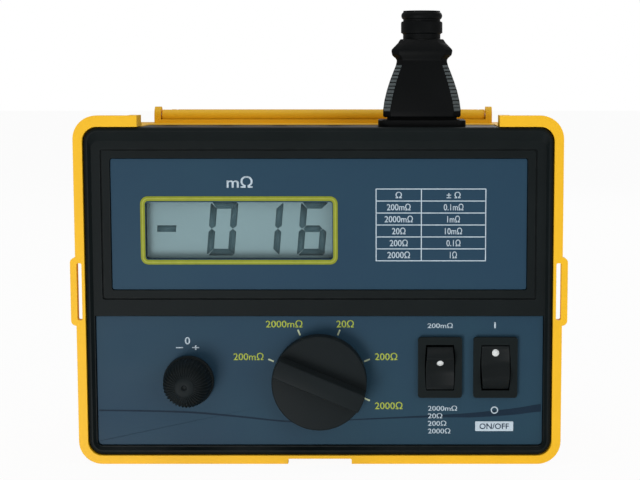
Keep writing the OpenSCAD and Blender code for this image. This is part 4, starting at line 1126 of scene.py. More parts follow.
@dataclass
class FrontPanels:
    """Black frame, both blue panels and all that is printed on them."""

    frame_edge: float = 0.2
    film_edge: float = 0.12

    # The yellow ring round the display, and the paler line along its middle
    ring: Box = Box((-61.16, 9.05), (6.38, 32.47))
    ring_line: float = 1.6
    ring_corner: float = 2.6
    ring_inner_corner: float = 1.1
    ring_rise: float = 0.12
    ring_edge: float = 0.05
    core_line: float = 0.4
    core_foot: float = 0.1

    # The table of ranges and steps, and the room that its letters take
    table: Box = Box((19.5, 10.33), (57.0, 34.97))
    table_split: float = 34.98
    table_rows: int = 6
    table_line: float = 0.32
    line_corner_share: float = 0.3
    ranges: tuple[tuple[str, str], ...] = (("200mΩ", "0.1mΩ"), ("2000mΩ", "1mΩ"), ("20Ω", "10mΩ"),
                                           ("200Ω", "0.1Ω"), ("2000Ω", "1Ω"))
    letter_w: float = 1.55
    letter_h: float = 2.35
    letter_shares: dict[str, float] = field(default_factory=lambda: {".": 0.55, "1": 0.55, "m": 1.25})
    unit_half: Point = (1.1, 1.1)
    step_unit_half: Point = (2.4, 1.1)

    # The prints in plain letters, each with the lower left and the upper right corner of its box
    pale_marks: tuple[Letters, ...] = (
        Letters("mΩ", (-31.50, 35.4), (-22.60, 39.4)),
        Letters("0", (-46.50, -18.7), (-44.70, -16.1)),
        Letters("−  +", (-49.60, -20.6), (-41.60, -19.0)),
        Letters("200mΩ", (37.20, -13.0), (45.90, -11.2)),
        Letters("2000mΩ", (37.40, -41.95), (47.50, -40.1)),
        Letters("20Ω", (37.40, -44.6), (42.40, -42.75)),
        Letters("200Ω", (37.40, -47.25), (43.80, -45.4)),
        Letters("2000Ω", (37.40, -49.95), (45.20, -48.1)),
        Letters("I", (60.15, -13.0), (60.75, -10.9)),
    )
    dial_marks: tuple[Letters, ...] = (
        Letters("200mΩ", (-29.80, -24.2), (-19.40, -21.6)),
        Letters("2000mΩ", (-18.50, -12.8), (-5.90, -10.2)),
        Letters("20Ω", (5.80, -12.8), (11.80, -10.2)),
        Letters("200Ω", (19.00, -24.2), (26.80, -21.6)),
        Letters("2000Ω", (19.00, -41.4), (28.60, -38.8)),
    )

    # The ticks round the range knob, with turns in degrees clockwise from the right
    dial_centre: Point = (-0.25, -31.1)
    dial_ticks: int = 5
    first_tick: float = 22.5
    tick_turn: float = -45.0
    tick_in: float = 16.9
    tick_out: float = 19.0
    tick_w: float = 0.55
    tick_corner: float = 0.15

    # The circle and the pale field at the mains rocker
    off_centre: Point = (60.45, -41.7)
    off_radius: float = 1.3
    off_line: float = 0.42
    off_steps: int = 40
    power_field: Box = Box((53.8, -49.1), (67.0, -45.7))
    power_corner: float = 0.25
    power_margin: Point = (1.5, 0.7)

    # The dark line across the lower panel: its places, and its width at each
    wave: tuple[Point, ...] = ((-76.6, -41.8), (-60, -42.0), (-44, -42.55), (-28, -44.0), (-11, -45.7),
                               (0, -45.8), (11.5, -45.1), (24, -44.5), (36, -44.0), (44, -43.75),
                               (52, -43.5), (60, -42.9), (68, -42.1), (76.6, -40.9))
    wave_widths: tuple[float, ...] = (0.55, 0.6, 0.65, 0.65, 0.5, 0.45, 0.4, 0.5, 0.7, 1.0, 1.6, 2.0, 2.3,
                                      2.7)
    wave_steps: int = 8

    def build(self, bench: Bench) -> None:
        """Makes the frame, the films and the prints.

        Args:
            bench: where the pieces are made.
        """
        bench.softened("front_frame", "front_bezel", FRAME_BLACK, "case", self.frame_edge)
        bench.softened("upper_panel", "upper_film", PANEL_BLUE, "case", self.film_edge)
        bench.softened("lower_panel", "lower_film", PANEL_LOW_BLUE, "case", self.film_edge)
        self.print_ring(bench)
        self.print_table(bench)
        self.print_marks(bench)
        self.print_dial(bench)
        self.print_wave(bench)

    def print_ring(self, bench: Bench) -> None:
        """Prints the yellow ring round the display, and the paler line along its middle.

        Args:
            bench: where the pieces are made.
        """
        (width, height), middle = self.ring.size, self.ring.middle
        line, front = self.ring_line, PANEL_D - self.ring_rise
        outer = MeshShop.rounded(width, height, self.ring_corner)
        inner = MeshShop.rounded(width - 2 * line, height - 2 * line, self.ring_inner_corner)
        ring = MeshShop.band(outer, inner, front, PANEL_D, middle)
        bench.printed("display_ring", ring, INK_RING, bevel=self.ring_edge, sharp=35)
        insets = ((line - self.core_line) / 2, (line + self.core_line) / 2)
        sides = [MeshShop.rounded(width - 2 * inset, height - 2 * inset, self.ring_corner - inset)
                 for inset in insets]
        core = MeshShop.band(*sides, front - INK / 2, PANEL_D - self.core_foot, middle)
        bench.printed("display_ring_core", core, INK_RING_PALE, sharp=60)

    def print_table(self, bench: Bench) -> None:
        """Prints the table of ranges and steps.

        Args:
            bench: where the pieces are made.
        """
        (x0, h0), (x1, h1), split = self.table.low, self.table.high, self.table_split
        line, corner = self.table_line, self.table_line * self.line_corner_share
        middle_x, middle_h = self.table.middle
        pitch = (h1 - h0) / self.table_rows
        bar = MeshShop.slab(MeshShop.rounded(x1 - x0 + line, line, corner, steps=2), -INK, 0)
        start, step = Vector((middle_x, PANEL_D, h0)), Vector((0, 0, pitch))
        rows = CopyTree(Pattern.ROW).copies("table_lines", bar, INK_PALE, self.table_rows + 1, start, step)
        bench.enter(rows, "case")
        post = MeshShop.rounded(line, h1 - h0, corner, steps=2)
        posts = [MeshShop.slab(post, PANEL_D - INK, PANEL_D, (x, middle_h)) for x in (x0, split, x1)]
        bench.printed("table_posts", MeshShop.join(posts), INK_PALE, sharp=35)
        columns = ((x0 + split) / 2, (split + x1) / 2)
        cells = []
        for i, pair in enumerate(self.ranges):
            row_h = h1 - pitch * (i + 1.5)
            for text, column in zip(pair, columns):
                half_w = self.letter_w * sum(self.letter_shares.get(letter, 1.0) for letter in text) / 2
                cells.append(Letters.centred(text, (column, row_h), (half_w, self.letter_h / 2)))
        head_h = h1 - pitch / 2
        cells.append(Letters.centred("Ω", (columns[0], head_h), self.unit_half))
        cells.append(Letters.centred("± Ω", (columns[1], head_h), self.step_unit_half))
        bench.printed("table_numbers", MeshShop.join(cell.mesh() for cell in cells), INK_PALE)

    def print_marks(self, bench: Bench) -> None:
        """Prints the plain marks by the knobs and rockers.

        Args:
            bench: where the pieces are made.
        """
        front = PANEL_D - INK
        bench.printed("pale_marks", MeshShop.join(mark.mesh() for mark in self.pale_marks), INK_PALE)
        sides = [MeshShop.circle(radius, self.off_steps)
                 for radius in (self.off_radius, self.off_radius - self.off_line)]
        bench.printed("off_mark", MeshShop.band(*sides, front, PANEL_D, self.off_centre), INK_PALE)
        outline = MeshShop.rounded(*self.power_field.size, self.power_corner, steps=3)
        plate = MeshShop.slab(outline, front, PANEL_D, self.power_field.middle)
        bench.printed("switch_field", plate, INK_PALE, sharp=35)
        (x0, h0), (x1, h1), (side, rise) = self.power_field.low, self.power_field.high, self.power_margin
        words = Letters("ON/OFF", (x0 + side, h0 + rise), (x1 - side, h1 - rise))
        bench.printed("switch_words", words.mesh(front), INK_DARK)

    def print_dial(self, bench: Bench) -> None:
        """Prints the ticks and their numbers round the range knob.

        Args:
            bench: where the pieces are made.
        """
        bench.printed("dial_numbers", MeshShop.join(mark.mesh() for mark in self.dial_marks), INK_DIAL)
        middle = (self.tick_in + self.tick_out) / 2
        outline = MeshShop.rounded(self.tick_out - self.tick_in, self.tick_w, self.tick_corner, steps=2)
        tick = MeshShop.slab(outline, -INK, 0, (middle, 0))
        axis = Vector((self.dial_centre[0], PANEL_D, self.dial_centre[1]))
        ticks = CopyTree(Pattern.RING).copies("dial_ticks", tick, INK_TICK, self.dial_ticks, axis,
                                              first=self.first_tick, turn=self.tick_turn)
        bench.enter(ticks, "case")

    def print_wave(self, bench: Bench) -> None:
        """Prints the dark line that swings across the lower panel.

        Args:
            bench: where the pieces are made.
        """
        rings = []
        front, last = PANEL_D - INK / 2, len(self.wave) - 1
        for i in range(last):
            around = [self.wave[max(0, min(last, i + n))] for n in (-1, 0, 1, 2)]
            (x0, _), (x1, _) = around[1:3]
            w0, w1 = self.wave_widths[i:i + 2]
            for k in range(self.wave_steps + (i == last - 1)):
                t = k / self.wave_steps
                x, h = x0 + (x1 - x0) * t, smooth_value([h for _, h in around], t)
                half = (w0 + (w1 - w0) * t) / 2
                rings.append([Vector((x, front, h + half)), Vector((x, PANEL_D, h + half)),
                              Vector((x, PANEL_D, h - half)), Vector((x, front, h - half))])
        bench.printed("panel_wave", MeshShop.loft(rings), INK_WAVE, sharp=60)


@dataclass
class Display:
    """The digits on the liquid crystal glass."""

    surface: float = 7.7
    base_h: float = 11.75
    height: float = 18.45
    width: float = 9.55
    stroke: float = 2.3
    slant: float = 0.088
    gap: float = 0.03
    corner_share: float = 0.32
    nick: float = 0.3
    notch: float = 0.4
    trim: float = 0.2
    digit_x: tuple[float, ...] = (-39.05, -23.5, -7.95)
    digits: tuple[str, ...] = ("0", "1", "6")
    minus: Box = Box((-56.05, 19.9), (-49.45, 22.15))
    minus_lean: float = 0.1
    lit: dict[str, str] = field(default_factory=lambda: {"0": "abcdef", "1": "bc", "6": "acdefg"})

    def segment(self, which: str) -> list[Point]:
        """Gives the outline of one segment of an upright digit whose lower left corner is the origin.

        Args:
            which: the segment's letter, a at the top and on clockwise, with g in the middle.

        Returns:
            The outline in x and h.
        """
        # m is the digit's middle and k the cut of its corners; the other letters stand for the fields
        w, h, s, g = self.width, self.height, self.stroke, self.gap
        n, o, q = self.nick, self.notch, self.trim
        m, k = h / 2, s * self.corner_share
        shapes: dict[str, list[Point]] = {
            "a": [(k + g, h), (k, h - n), (s + g, h - s), (w - s - g, h - s), (w - k * 0.4, h - n),
                  (w - k - g, h)],
            "b": [(w, h - k), (w - n, h - o), (w - s, h - s), (w - s, m + s / 2 - q), (w - s * 0.55, m + g),
                  (w, m + s * 0.45)],
            "c": [(w, m - s * 0.45), (w - s * 0.55, m - g), (w - s, m - s / 2 + q), (w - s, s), (w - n, o),
                  (w, k)],
            "d": [(k + g, 0), (w - k - g, 0), (w - k * 0.4, n), (w - s - g, s), (s + g, s), (k, n)],
            "e": [(0, k), (n, o), (s, s), (s, m - s / 2 + q), (s * 0.45, m - g), (0, m - s * 0.45)],
            "f": [(0, m + s * 0.45), (s * 0.45, m + g), (s, m + s / 2 - q), (s, h - s), (n, h - o),
                  (0, h - k)],
            "g": [(s * 0.65, m), (s * 1.1, m - s / 2), (w - s * 1.1, m - s / 2), (w - s * 0.65, m),
                  (w - s * 1.1, m + s / 2), (s * 1.1, m + s / 2)],
        }
        return shapes[which]

    def build(self, bench: Bench) -> None:
        """Makes the lit segments and the minus sign.

        Args:
            bench: where the pieces are made.
        """
        outlines = [[(left + x + h * self.slant, self.base_h + h) for x, h in self.segment(which)]
                    for left, digit in zip(self.digit_x, self.digits) for which in self.lit[digit]]
        (x0, h0), (x1, h1), lean = self.minus.low, self.minus.high, self.minus_lean
        outlines.append([(x0, h0), (x1 - lean, h0), (x1 + lean, h1), (x0 + lean, h1)])
        parts = [MeshShop.slab(outline, self.surface - INK, self.surface) for outline in outlines]
        bench.add("display_digits", MeshShop.join(parts), SEGMENT_DARK, "case", "display_glass", sharp=180)


@dataclass
class RangeKnob:
    """Range knob: a round base with a full-width grip across it."""

    centre: Point = (0, -31.205)
    angle: float = -22.5
    radius: float = 16.3
    base: float = 7.5
    height: float = 14.0
    lift: float = 0.5
    bore: float = 3.2
    top_flat: float = 4.0
    foot_in: float = 0.25
    foot_out: float = 0.05
    foot_h: float = 0.3
    tip: float = 0.01
    edge: float = 0.55
    edge_angles: tuple[float, ...] = (90, 67, 45, 22, 0)

    # The grip: it starts inside the base, flares a little at its foot and keeps inside the rim
    grip_edge: float = 0.5
    grip_top: float = 6.4
    grip_foot: float = 7.8
    grip_flare: float = 0.28
    grip_sink: float = 0.4
    grip_step: float = 0.9
    grip_inset: float = 0.1
    top_inset: float = 0.25
    grip_steps: int = 10

    def build(self, bench: Bench) -> None:
        """Turns the base and makes the grip.

        Args:
            bench: where the pieces are made.
        """
        r, e, foot = self.radius, self.edge, -self.lift
        rim = [(r - e + e * math.sin(a), -self.base + e - e * math.cos(a))
               for a in map(math.radians, self.edge_angles)]
        start = [(self.bore, foot), (r - self.foot_in, foot), (r - self.foot_out, foot - self.foot_h)]
        profile = start + rim + [(self.top_flat, -self.base), (self.tip, -self.base)]
        axis = Vector((self.centre[0], PANEL_D, self.centre[1]))
        bench.add("range_dial", MeshShop.lathe(profile, axis), KNOB_BLACK, "range_knob", "frame_black",
                  ("range_knob",))
        turn = Matrix.Translation(axis) @ Matrix.Rotation(-math.radians(self.angle), 4, "Y")
        grip = MeshShop.moved(self.grip(), turn)
        bench.add("range_grip", grip, KNOB_BLACK, "range_knob", "frame_black", bevel=self.grip_edge)

    def grip(self) -> BMesh:
        """Makes the grip along x about the origin: its ends follow the base's rim.

        Returns:
            The grip.
        """
        rings = []
        levels = ((-self.base + self.grip_sink, self.grip_foot / 2, self.grip_inset),
                  (-self.base - self.grip_step, self.grip_top / 2 + self.grip_flare, self.grip_inset),
                  (-self.height, self.grip_top / 2, self.top_inset))
        for level, half, inset in levels:
            r = self.radius - inset
            across = [half * (2 * i / self.grip_steps - 1) for i in range(self.grip_steps + 1)]
            end = [(math.sqrt(r * r - v * v), v) for v in across]
            rings.append([Vector((u, level, v)) for u, v in end + [(-u, -v) for u, v in end]])
        return MeshShop.loft(rings)


@dataclass
class ZeroKnob:
    """Zero knob: skirt, tapered grip with fine ribs, and a smooth cap with a dimple."""

    centre: Point = (-45.2, -31.205)

    # The ribs: a rib's root lies below the flank, its top fades at both ends, its width has a fixed share
    # and one that follows the flank's radius, and its section is given as shares of its width and height
    ribs: int = 40
    rib_w: float = 0.72
    rib_root: float = -0.25
    rib_top: float = 0.44
    end_share: float = 0.35
    fixed_share: float = 0.45
    radius_share: float = 0.55
    rib_shares: tuple[Point, ...] = ((-0.55, 0.75), (0, 1), (0.55, 0.75))

    # The profile, as radius and depth from the panel outwards
    skirt: tuple[Point, ...] = ((3.2, -0.5), (8.7, -0.5), (8.75, -0.8), (8.75, -2.3), (8.6, -2.5))
    flank: tuple[Point, ...] = ((8.05, -2.7), (7.95, -5.0), (7.7, -8.0), (7.3, -10.6), (6.75, -12.3),
                                (6.0, -13.5), (5.0, -14.4), (4.0, -15.0), (3.4, -15.3))
    cap: tuple[Point, ...] = ((3.3, -15.55), (3.05, -15.72), (2.2, -15.85), (1.3, -15.9), (0.95, -15.85),
                              (0.75, -15.6), (0.6, -15.2), (0.01, -15.1))

    def build(self, bench: Bench) -> None:
        """Turns the body and sets the ribs round it.

        Args:
            bench: where the pieces are made.
        """
        axis = Vector((self.centre[0], PANEL_D, self.centre[1]))
        body = MeshShop.lathe(self.skirt + self.flank + self.cap, axis)
        bench.add("zero_body", body, KNOB_BLACK, "zero_knob", "frame_black", ("zero_knob",), sharp=28)
        ribs = CopyTree(Pattern.RING).copies("zero_ribs", self.rib(), KNOB_BLACK, self.ribs, axis,
                                             turn=360 / self.ribs)
        bench.enter(ribs, "zero_knob", sharp=60)

    def rib(self) -> BMesh:
        """Makes one rib up the flank, on the side of +x.

        Returns:
            The rib.
        """
        path, last = self.flank, len(self.flank) - 1
        rings = []
        for i, (r, d) in enumerate(path):
            (r0, d0), (r1, d1) = path[max(0, i - 1)], path[min(last, i + 1)]
            along = Vector((r1 - r0, d1 - d0)).normalized()
            out = Vector((-along.y, along.x))
            top = self.rib_top * (self.end_share if i in (0, last) else 1.0)
            half = self.rib_w * (self.fixed_share + self.radius_share * r / path[0][0]) / 2
            across = [(side, top * share) for side, share in self.rib_shares]
            ring = []
            for side, rise in [(-1, self.rib_root)] + across + [(1, self.rib_root)]:
                q = Vector((r, d)) + out * rise
                ring.append(Vector((q.x, q.y, side * half)))
            rings.append(ring)
        return MeshShop.loft(rings)


class RockerSide(Enum):
    """Which end of a rocker stands out."""

    TOP_OUT = 1
    BOTTOM_OUT = -1


@dataclass
class Rocker:
    """One rocker with its bezel: a trough-shaped face inside a fine raised rim, and a white mark."""

    name: str
    node: str
    body: str
    x: float
    side: RockerSide
    mark: Point
    h: float = -26.555

    # The section: it leans by its tilt about a pivot behind the bezel's front. Each end is an arc at the
    # rocker's reach, from the low angle to the corner, and the face falls from there to the valley
    front: float = 1.5
    pivot: float = 5.0
    tilt: float = 15.5
    reach: float = 9.0
    corner: float = 50.78
    low: float = 19.78
    arc_steps: int = 6
    root: float = 2.4
    face_share: float = 0.94
    face_shares: tuple[float, ...] = (0.75, 0.5, 0.25)

    # The width, which bows outwards between the ends, the rim and the sunk face
    half_w: float = 4.45
    half_h: float = 7.95
    bow: float = 0.45
    rim: float = 0.55
    sink: float = 0.22
    edge_slack: float = 1e-4
    face_slack: float = 0.01
    paddle_edge: float = 0.16
    bezel_edge: float = 0.3

    # The white mark: its place up the face and its lift over it
    mark_u: float = 3.7
    mark_lift: float = 0.02
    mark_steps: int = 32

    def build(self, bench: Bench) -> None:
        """Makes the rocker and its mark, and rounds the bezel's edges.

        Args:
            bench: where the pieces are made.
        """
        name = self.name
        bench.softened(f"{self.node}_housing", f"{name}_bezel", SWITCH_BLACK, "case",
                       self.bezel_edge, segments=3)
        bench.add(f"{name}_paddle", self.paddle(), ROCKER_GREY, self.body, "switch_black", (self.node,),
                  bevel=self.paddle_edge)
        bench.add(f"{name}_mark", self.white_mark(), DOT_WHITE, self.body, "switch_black", sharp=180)

    def seat(self) -> Matrix:
        """Gives the matrix from the level rocker (x, u up its face, w outwards) to its place in the case.

        Returns:
            The matrix.
        """
        lay = Matrix(((1, 0, 0, 0), (0, 0, -1, 0), (0, 1, 0, 0), (0, 0, 0, 1)))
        turn = Matrix.Rotation(math.radians(self.tilt * self.side.value), 4, "X")
        return Matrix.Translation((self.x, self.front + self.pivot, self.h)) @ turn @ lay

    def half_at(self, u: float) -> float:
        """Gives half the rocker's width at a height on its face."""
        return self.half_w + self.bow * (1 - (u / self.half_h) ** 2)

    def rounded_end(self) -> list[Point]:
        """Gives the outline of the upper end, from the side to the face's corner.

        Returns:
            Its points as (u, w).
        """
        start, end = math.radians(self.low), math.radians(self.corner)
        turns = [start + (end - start) * i / self.arc_steps for i in range(self.arc_steps + 1)]
        return [(self.reach * math.cos(a), self.reach * math.sin(a)) for a in turns]

    def paddle(self) -> BMesh:
        """Makes the rocker level and lofts it across its width, with a sunk face inside a rim.

        Returns:
            The rocker in its place.
        """
        end = self.rounded_end()
        corner_u, corner_w = end[-1]
        valley = corner_w - corner_u * math.tan(math.radians(self.tilt))
        face = [(corner_u * t, corner_w + (valley - corner_w) * (1 - t))
                for t in (self.face_share,) + self.face_shares]
        upper = [(self.root, -self.root)] + end + face
        line = upper + [(0.0, valley)] + [(-u, w) for u, w in reversed(upper)]
        bm = MeshShop.loft([[Vector((side * self.half_at(u), u, w)) for u, w in line] for side in (-1, 1)])
        edge_u, lowest = corner_u * self.face_share + self.edge_slack, valley - self.face_slack
        top = [f for f in bm.faces if all(abs(v.co.y) < edge_u and v.co.z > lowest for v in f.verts)]
        bmesh.ops.inset_region(bm, faces=top, thickness=self.rim, depth=0, use_even_offset=True)
        for v in {v for f in top for v in f.verts}:
            v.co.z -= self.sink
        return MeshShop.moved(bm, self.seat())

    def white_mark(self) -> BMesh:
        """Makes the white mark on the upper half of the face.

        Returns:
            The mark in its place.
        """
        corner_u, corner_w = self.rounded_end()[-1]
        slope = math.tan(math.radians(self.tilt))
        w0 = corner_w - (corner_u - self.mark_u) * slope - self.sink + self.mark_lift
        half_x, half_u = self.mark
        rings = []
        for rise in (0.0, INK):
            rings.append([Vector((half_x * x, self.mark_u + half_u * u, w0 + half_u * u * slope + rise))
                          for x, u in MeshShop.circle(1.0, self.mark_steps)])
        return MeshShop.moved(MeshShop.loft(rings), self.seat())


@dataclass(frozen=True)
class GripSection:
    """One level of the connector's grip: height over its foot, half width, half depth and corner cut."""

    z: float
    half_w: float
    half_d: float
    cut: float

    def towards(self, other: GripSection, z: float) -> GripSection:
        """Gives the section between this one and another.

        Args:
            other: the other section.
            z: height of the new one.

        Returns:
            The new section.
        """
        t = (z - self.z) / (other.z - self.z)
        pairs = ((self.half_w, other.half_w), (self.half_d, other.half_d), (self.cut, other.cut))
        return GripSection(z, *(a + (b - a) * t for a, b in pairs))


@dataclass
class MainsConnector:
    """Mains connector: bevelled waisted grip in two halves, cord clamp, and the inlet's flange."""

    x: float = 35.2
    d: float = 16.8
    foot: float = 59.2

    # The grip: the gap from each half to the middle, its rounded edges and its sections from the foot up
    half_gap: float = 0.06
    edge: float = 0.35
    sections: tuple[GripSection, ...] = (
        GripSection(0.0, 13.1, 9.9, 2.5), GripSection(0.5, 13.3, 10.1, 2.6),
        GripSection(2.3, 13.35, 10.15, 2.7), GripSection(5.7, 12.87, 10.0, 2.8),
        GripSection(9.1, 12.05, 9.75, 2.8), GripSection(12.5, 10.95, 9.25, 2.6),
        GripSection(15.5, 9.8, 8.65, 2.4), GripSection(17.6, 8.95, 8.15, 2.2),
        GripSection(18.9, 8.65, 7.75, 2.1), GripSection(19.5, 8.65, 7.65, 2.1),
        GripSection(20.0, 8.9, 7.8, 2.2), GripSection(21.2, 10.2, 8.5, 2.5),
        GripSection(22.6, 10.45, 8.7, 2.6), GripSection(23.1, 10.3, 8.6, 2.6),
        GripSection(25.3, 8.2, 7.3, 2.7), GripSection(26.6, 7.4, 6.55, 2.6))

    # The ridges, from the first one's height to the last one's, with a ridge's section as way out and rise
    ridges: int = 13
    first_ridge: float = 2.6
    last_ridge: float = 17.2
    ridge_margin_share: float = 0.1
    ridge: tuple[Point, ...] = ((-0.3, -0.57), (0.08, -0.48), (0.16, 0.0), (0.08, 0.48), (-0.3, 0.57))

    # The clamp ring's profile, as radius and height over the foot
    clamp: tuple[Point, ...] = (
        (3.55, 25.2), (6.6, 25.2), (6.75, 25.5), (6.75, 26.5), (6.45, 26.8), (6.45, 28.3), (6.75, 28.6),
        (7.15, 28.8), (7.15, 32.2), (6.95, 32.6), (6.4, 32.8), (6.4, 33.4), (6.8, 33.7), (7.05, 34.3),
        (7.05, 34.9), (6.8, 35.5), (6.35, 35.9), (6.35, 36.3), (3.8, 36.3), (3.55, 36.0), (3.55, 25.2))

    def corners(self, section: GripSection) -> list[tuple[Vector, Vector, Vector]]:
        """Gives the cut corners of a section.

        Args:
            section: the section.

        Returns:
            For each corner, counter-clockwise, its end at the side, its end at the front or back, and its
            way out.
        """
        made = []
        w, dd, cut = section.half_w, section.half_d, section.cut
        for sx, sy in ((1, 1), (-1, 1), (-1, -1), (1, -1)):
            ends = ((w, dd - cut), (w - cut, dd))
            side, face = (Vector((self.x + sx * u, self.d + sy * v, self.foot + section.z)) for u, v in ends)
            made.append((side, face, Vector((sx, sy, 0)).normalized()))
        return made

    def ring(self, section: GripSection) -> Ring:
        """Gives the outline of one section: a rectangle with its corners cut.

        Args:
            section: the section.

        Returns:
            Its ring of points, counter-clockwise.
        """
        points: Ring = []
        for side, face, out in self.corners(section):
            points += (side, face) if out.x * out.y > 0 else (face, side)
        return points

    def build(self, bench: Bench) -> None:
        """Makes both halves, the ridges, the clamp and the flange.

        Args:
            bench: where the pieces are made.
        """
        self.grip_half(bench, "grip_front", "connector_front_shell", -1)
        self.grip_half(bench, "grip_rear", "connector_rear_shell", 1)
        self.side_ridges(bench)
        clamp = MeshShop.lathe(self.clamp, Vector((self.x, self.d, self.foot)), around_h=True)
        bench.add("clamp_ring", clamp, PLUG_BLACK, "mains_connector", "plug_black", ("cord_clamp",), sharp=28)
        bench.softened("inlet_housing", "inlet_flange", PLUG_BLACK, "case", self.edge,
                       segments=3)

    def grip_half(self, bench: Bench, name: str, node: str, sign: int) -> None:
        """Lofts the whole grip and keeps one half of it.

        Args:
            bench: where the pieces are made.
            name: the half's name.
            node: the CAD node that it stands for.
            sign: -1 for the front half and 1 for the rear one.
        """
        bm = MeshShop.loft([self.ring(section) for section in self.sections])
        cut = bmesh.ops.bisect_plane(bm, geom=bm.verts[:] + bm.edges[:] + bm.faces[:], clear_outer=True,
                                     plane_co=(self.x, self.d + sign * self.half_gap, 0),
                                     plane_no=(0, -sign, 0))
        rim = [item for item in cut["geom_cut"] if isinstance(item, BMEdge)]
        bmesh.ops.edgeloop_fill(bm, edges=rim)
        bmesh.ops.recalc_face_normals(bm, faces=bm.faces)
        bench.add(name, bm, PLUG_BLACK, "mains_connector", "plug_black", (node,), bevel=self.edge)

    def side_ridges(self, bench: Bench) -> None:
        """Sets fine ridges up the cut corners of the grip, where fingers hold it, in a paler copy of the
        plug's black that paints the highlight of the side facets.

        Args:
            bench: where the pieces are made.
        """
        parts = []
        for i in range(self.ridges):
            z = self.first_ridge + i * (self.last_ridge - self.first_ridge) / (self.ridges - 1)
            low = max(k for k, section in enumerate(self.sections[:-1]) if section.z <= z)
            section = self.sections[low].towards(self.sections[low + 1], z)
            for side, face, out in self.corners(section):
                ends = [side.lerp(face, t) for t in (self.ridge_margin_share, 1 - self.ridge_margin_share)]
                parts.append(MeshShop.loft([[end + out * o + Vector((0, 0, v)) for o, v in self.ridge]
                                            for end in ends]))
        # The ridges wear the paler copy of the plug's black, a painted highlight on the grip's side facets
        bench.add("grip_ridges", MeshShop.join(parts), PLUG_PAINTED_HIGHLIGHT, "mains_connector", "plug_black", sharp=70)


# Camera, floor and light


@dataclass(frozen=True)
class Lamp:
    """Soft square lamp that looks at the object. Its place and sides are in metres, its power in watts."""

    name: str
    spot: tuple[float, float, float]
    side: float
    power: float
    aim: tuple[float, float, float] = (0, 0, 0.06)

    def hang(self) -> None:
        """Makes the lamp."""
        data = bpy.data.lights.new(self.name, "AREA")
        data.shape = "SQUARE"
        data.size = self.side
        data.energy = self.power
        obj = linked(self.name, data)
        obj.location = self.spot
        obj.rotation_euler = (Vector(self.aim) - Vector(self.spot)).to_track_quat("-Z", "Y").to_euler()


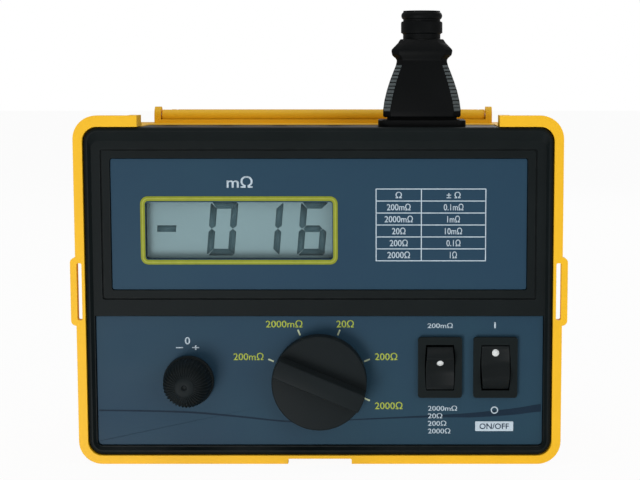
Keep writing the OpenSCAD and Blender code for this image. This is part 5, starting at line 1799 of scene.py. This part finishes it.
@dataclass
class Studio:
    """Pale floor, soft lights and the camera at the photograph's viewpoint."""

    # The camera: its distance, its elevation in degrees, its place to the side and the height that it aims
    # at, its focal length and the photograph's size in pixels, and the pixel that its axis meets
    distance: float = 600.0
    elevation: float = 7.0
    side: float = 24.6
    aim_h: float = 0.5
    focal_px: float = 1755.0
    image_w: float = 640.0
    image_h: float = 480.0
    axis_px: Point = (391.0, 290.4)
    sensor_mm: float = 36.0
    clip: Point = (0.01, 20.0)

    # The floor, in metres, and the light
    floor_reach: float = 6.0
    floor_z: float = -0.0002
    floor_colour: Colour = (0.86, 0.86, 0.86)
    white: Colour = (1.0, 1.0, 1.0)
    floor_white_share: float = 0.95
    world_strength: float = 0.38
    lamps: tuple[Lamp, ...] = (
        Lamp("key_light", (-0.45, -1.15, -0.4), 0.5, 8.4),
        Lamp("fill_light", (0.85, -1.0, 0.35), 0.8, 2.9),
        Lamp("top_light", (-0.1, -0.1, 1.2), 0.9, 4.2),
        Lamp("back_light", (0.4, 1.1, 0.7), 0.8, 2.5),
    )

    def build(self) -> None:
        """Sets up everything that isn't part of the object."""
        self.camera()
        self.floor()
        self.world()
        for lamp in self.lamps:
            lamp.hang()
        bpy.context.scene.view_settings.view_transform = "Standard"

    def camera(self) -> None:
        """Makes the camera: it looks level with the case's sides, a little from above."""
        tilt = math.radians(self.elevation)
        data = bpy.data.cameras.new("camera")
        data.sensor_width = self.sensor_mm
        data.sensor_fit = "HORIZONTAL"
        data.lens = self.focal_px / self.image_w * self.sensor_mm
        data.shift_x = (self.image_w / 2 - self.axis_px[0]) / self.image_w
        data.shift_y = (self.axis_px[1] - self.image_h / 2) / self.image_w
        data.clip_start, data.clip_end = self.clip
        data.dof.use_dof = False
        cam = linked("camera", data)
        back, up = self.distance * math.cos(tilt), self.distance * math.sin(tilt)
        cam.location = place(self.side, -back, self.aim_h + up)
        cam.rotation_euler = (math.radians(90) - tilt, 0, 0)
        bpy.context.scene.camera = cam

    def floor(self) -> None:
        """Lays a wide pale floor, which throws no shadow, because the main light comes from low in front."""
        reach = self.floor_reach
        bm = bmesh.new()
        corners = ((-reach, -reach), (reach, -reach), (reach, reach), (-reach, reach))
        bm.faces.new([bm.verts.new((x, y, self.floor_z)) for x, y in corners])
        material = bpy.data.materials.new("floor_white")
        material.use_nodes = True
        sheet = NodeSheet(material.node_tree)
        matt = sheet.add("ShaderNodeBsdfDiffuse", {"Color": opaque(self.floor_colour)}).outputs[0]
        glow = sheet.add("ShaderNodeEmission", {"Color": opaque(self.white), "Strength": 1.0}).outputs[0]
        camera_ray = sheet.add("ShaderNodeLightPath").outputs["Is Camera Ray"]
        seen = sheet.maths("MULTIPLY", camera_ray, self.floor_white_share)
        mixed = sheet.add("ShaderNodeMixShader", {0: seen, 1: matt, 2: glow}).outputs[0]
        sheet.add("ShaderNodeOutputMaterial", {0: mixed})
        obj = mesh_object("floor", bm, material)
        obj.visible_shadow = False

    def world(self) -> None:
        """Gives an even light, white to the camera and dimmer to gloss, so that black stays black."""
        world = bpy.data.worlds.new("studio")
        world.use_nodes = True
        sheet = NodeSheet(world.node_tree)
        path = sheet.add("ShaderNodeLightPath").outputs
        seen = sheet.maths("MAXIMUM", path["Is Camera Ray"], path["Is Transmission Ray"])
        level = sheet.ramp(seen, 0.0, 1.0, self.world_strength, 1.0)
        back = sheet.add("ShaderNodeBackground", {"Color": opaque(self.white), "Strength": level}).outputs[0]
        sheet.add("ShaderNodeOutputWorld", {0: back})
        bpy.context.scene.world = world


def main() -> None:
    logging.basicConfig(level=logging.INFO, format="%(name)s: %(message)s")
    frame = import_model()
    bench = Bench(frame)
    bench.dress_nodes(PLAIN_NODES)
    assemblies = (
        CarryCase(), FrontPanels(), Display(), RangeKnob(), ZeroKnob(),
        Rocker("range_switch", "range_rocker", "range_rocker", 41.5, RockerSide.TOP_OUT, (1.12, 1.1)),
        Rocker("power_switch", "power_rocker", "power_rocker", 60.6, RockerSide.BOTTOM_OUT, (1.2, 1.2)),
        MainsConnector(),
    )
    for assembly in assemblies:
        assembly.build(bench)
        LOG.info("built %s", type(assembly).__name__)
    Studio().build()
    LOG.info("%d pieces in all", bench.count)


if __name__ == "__main__":
    main()
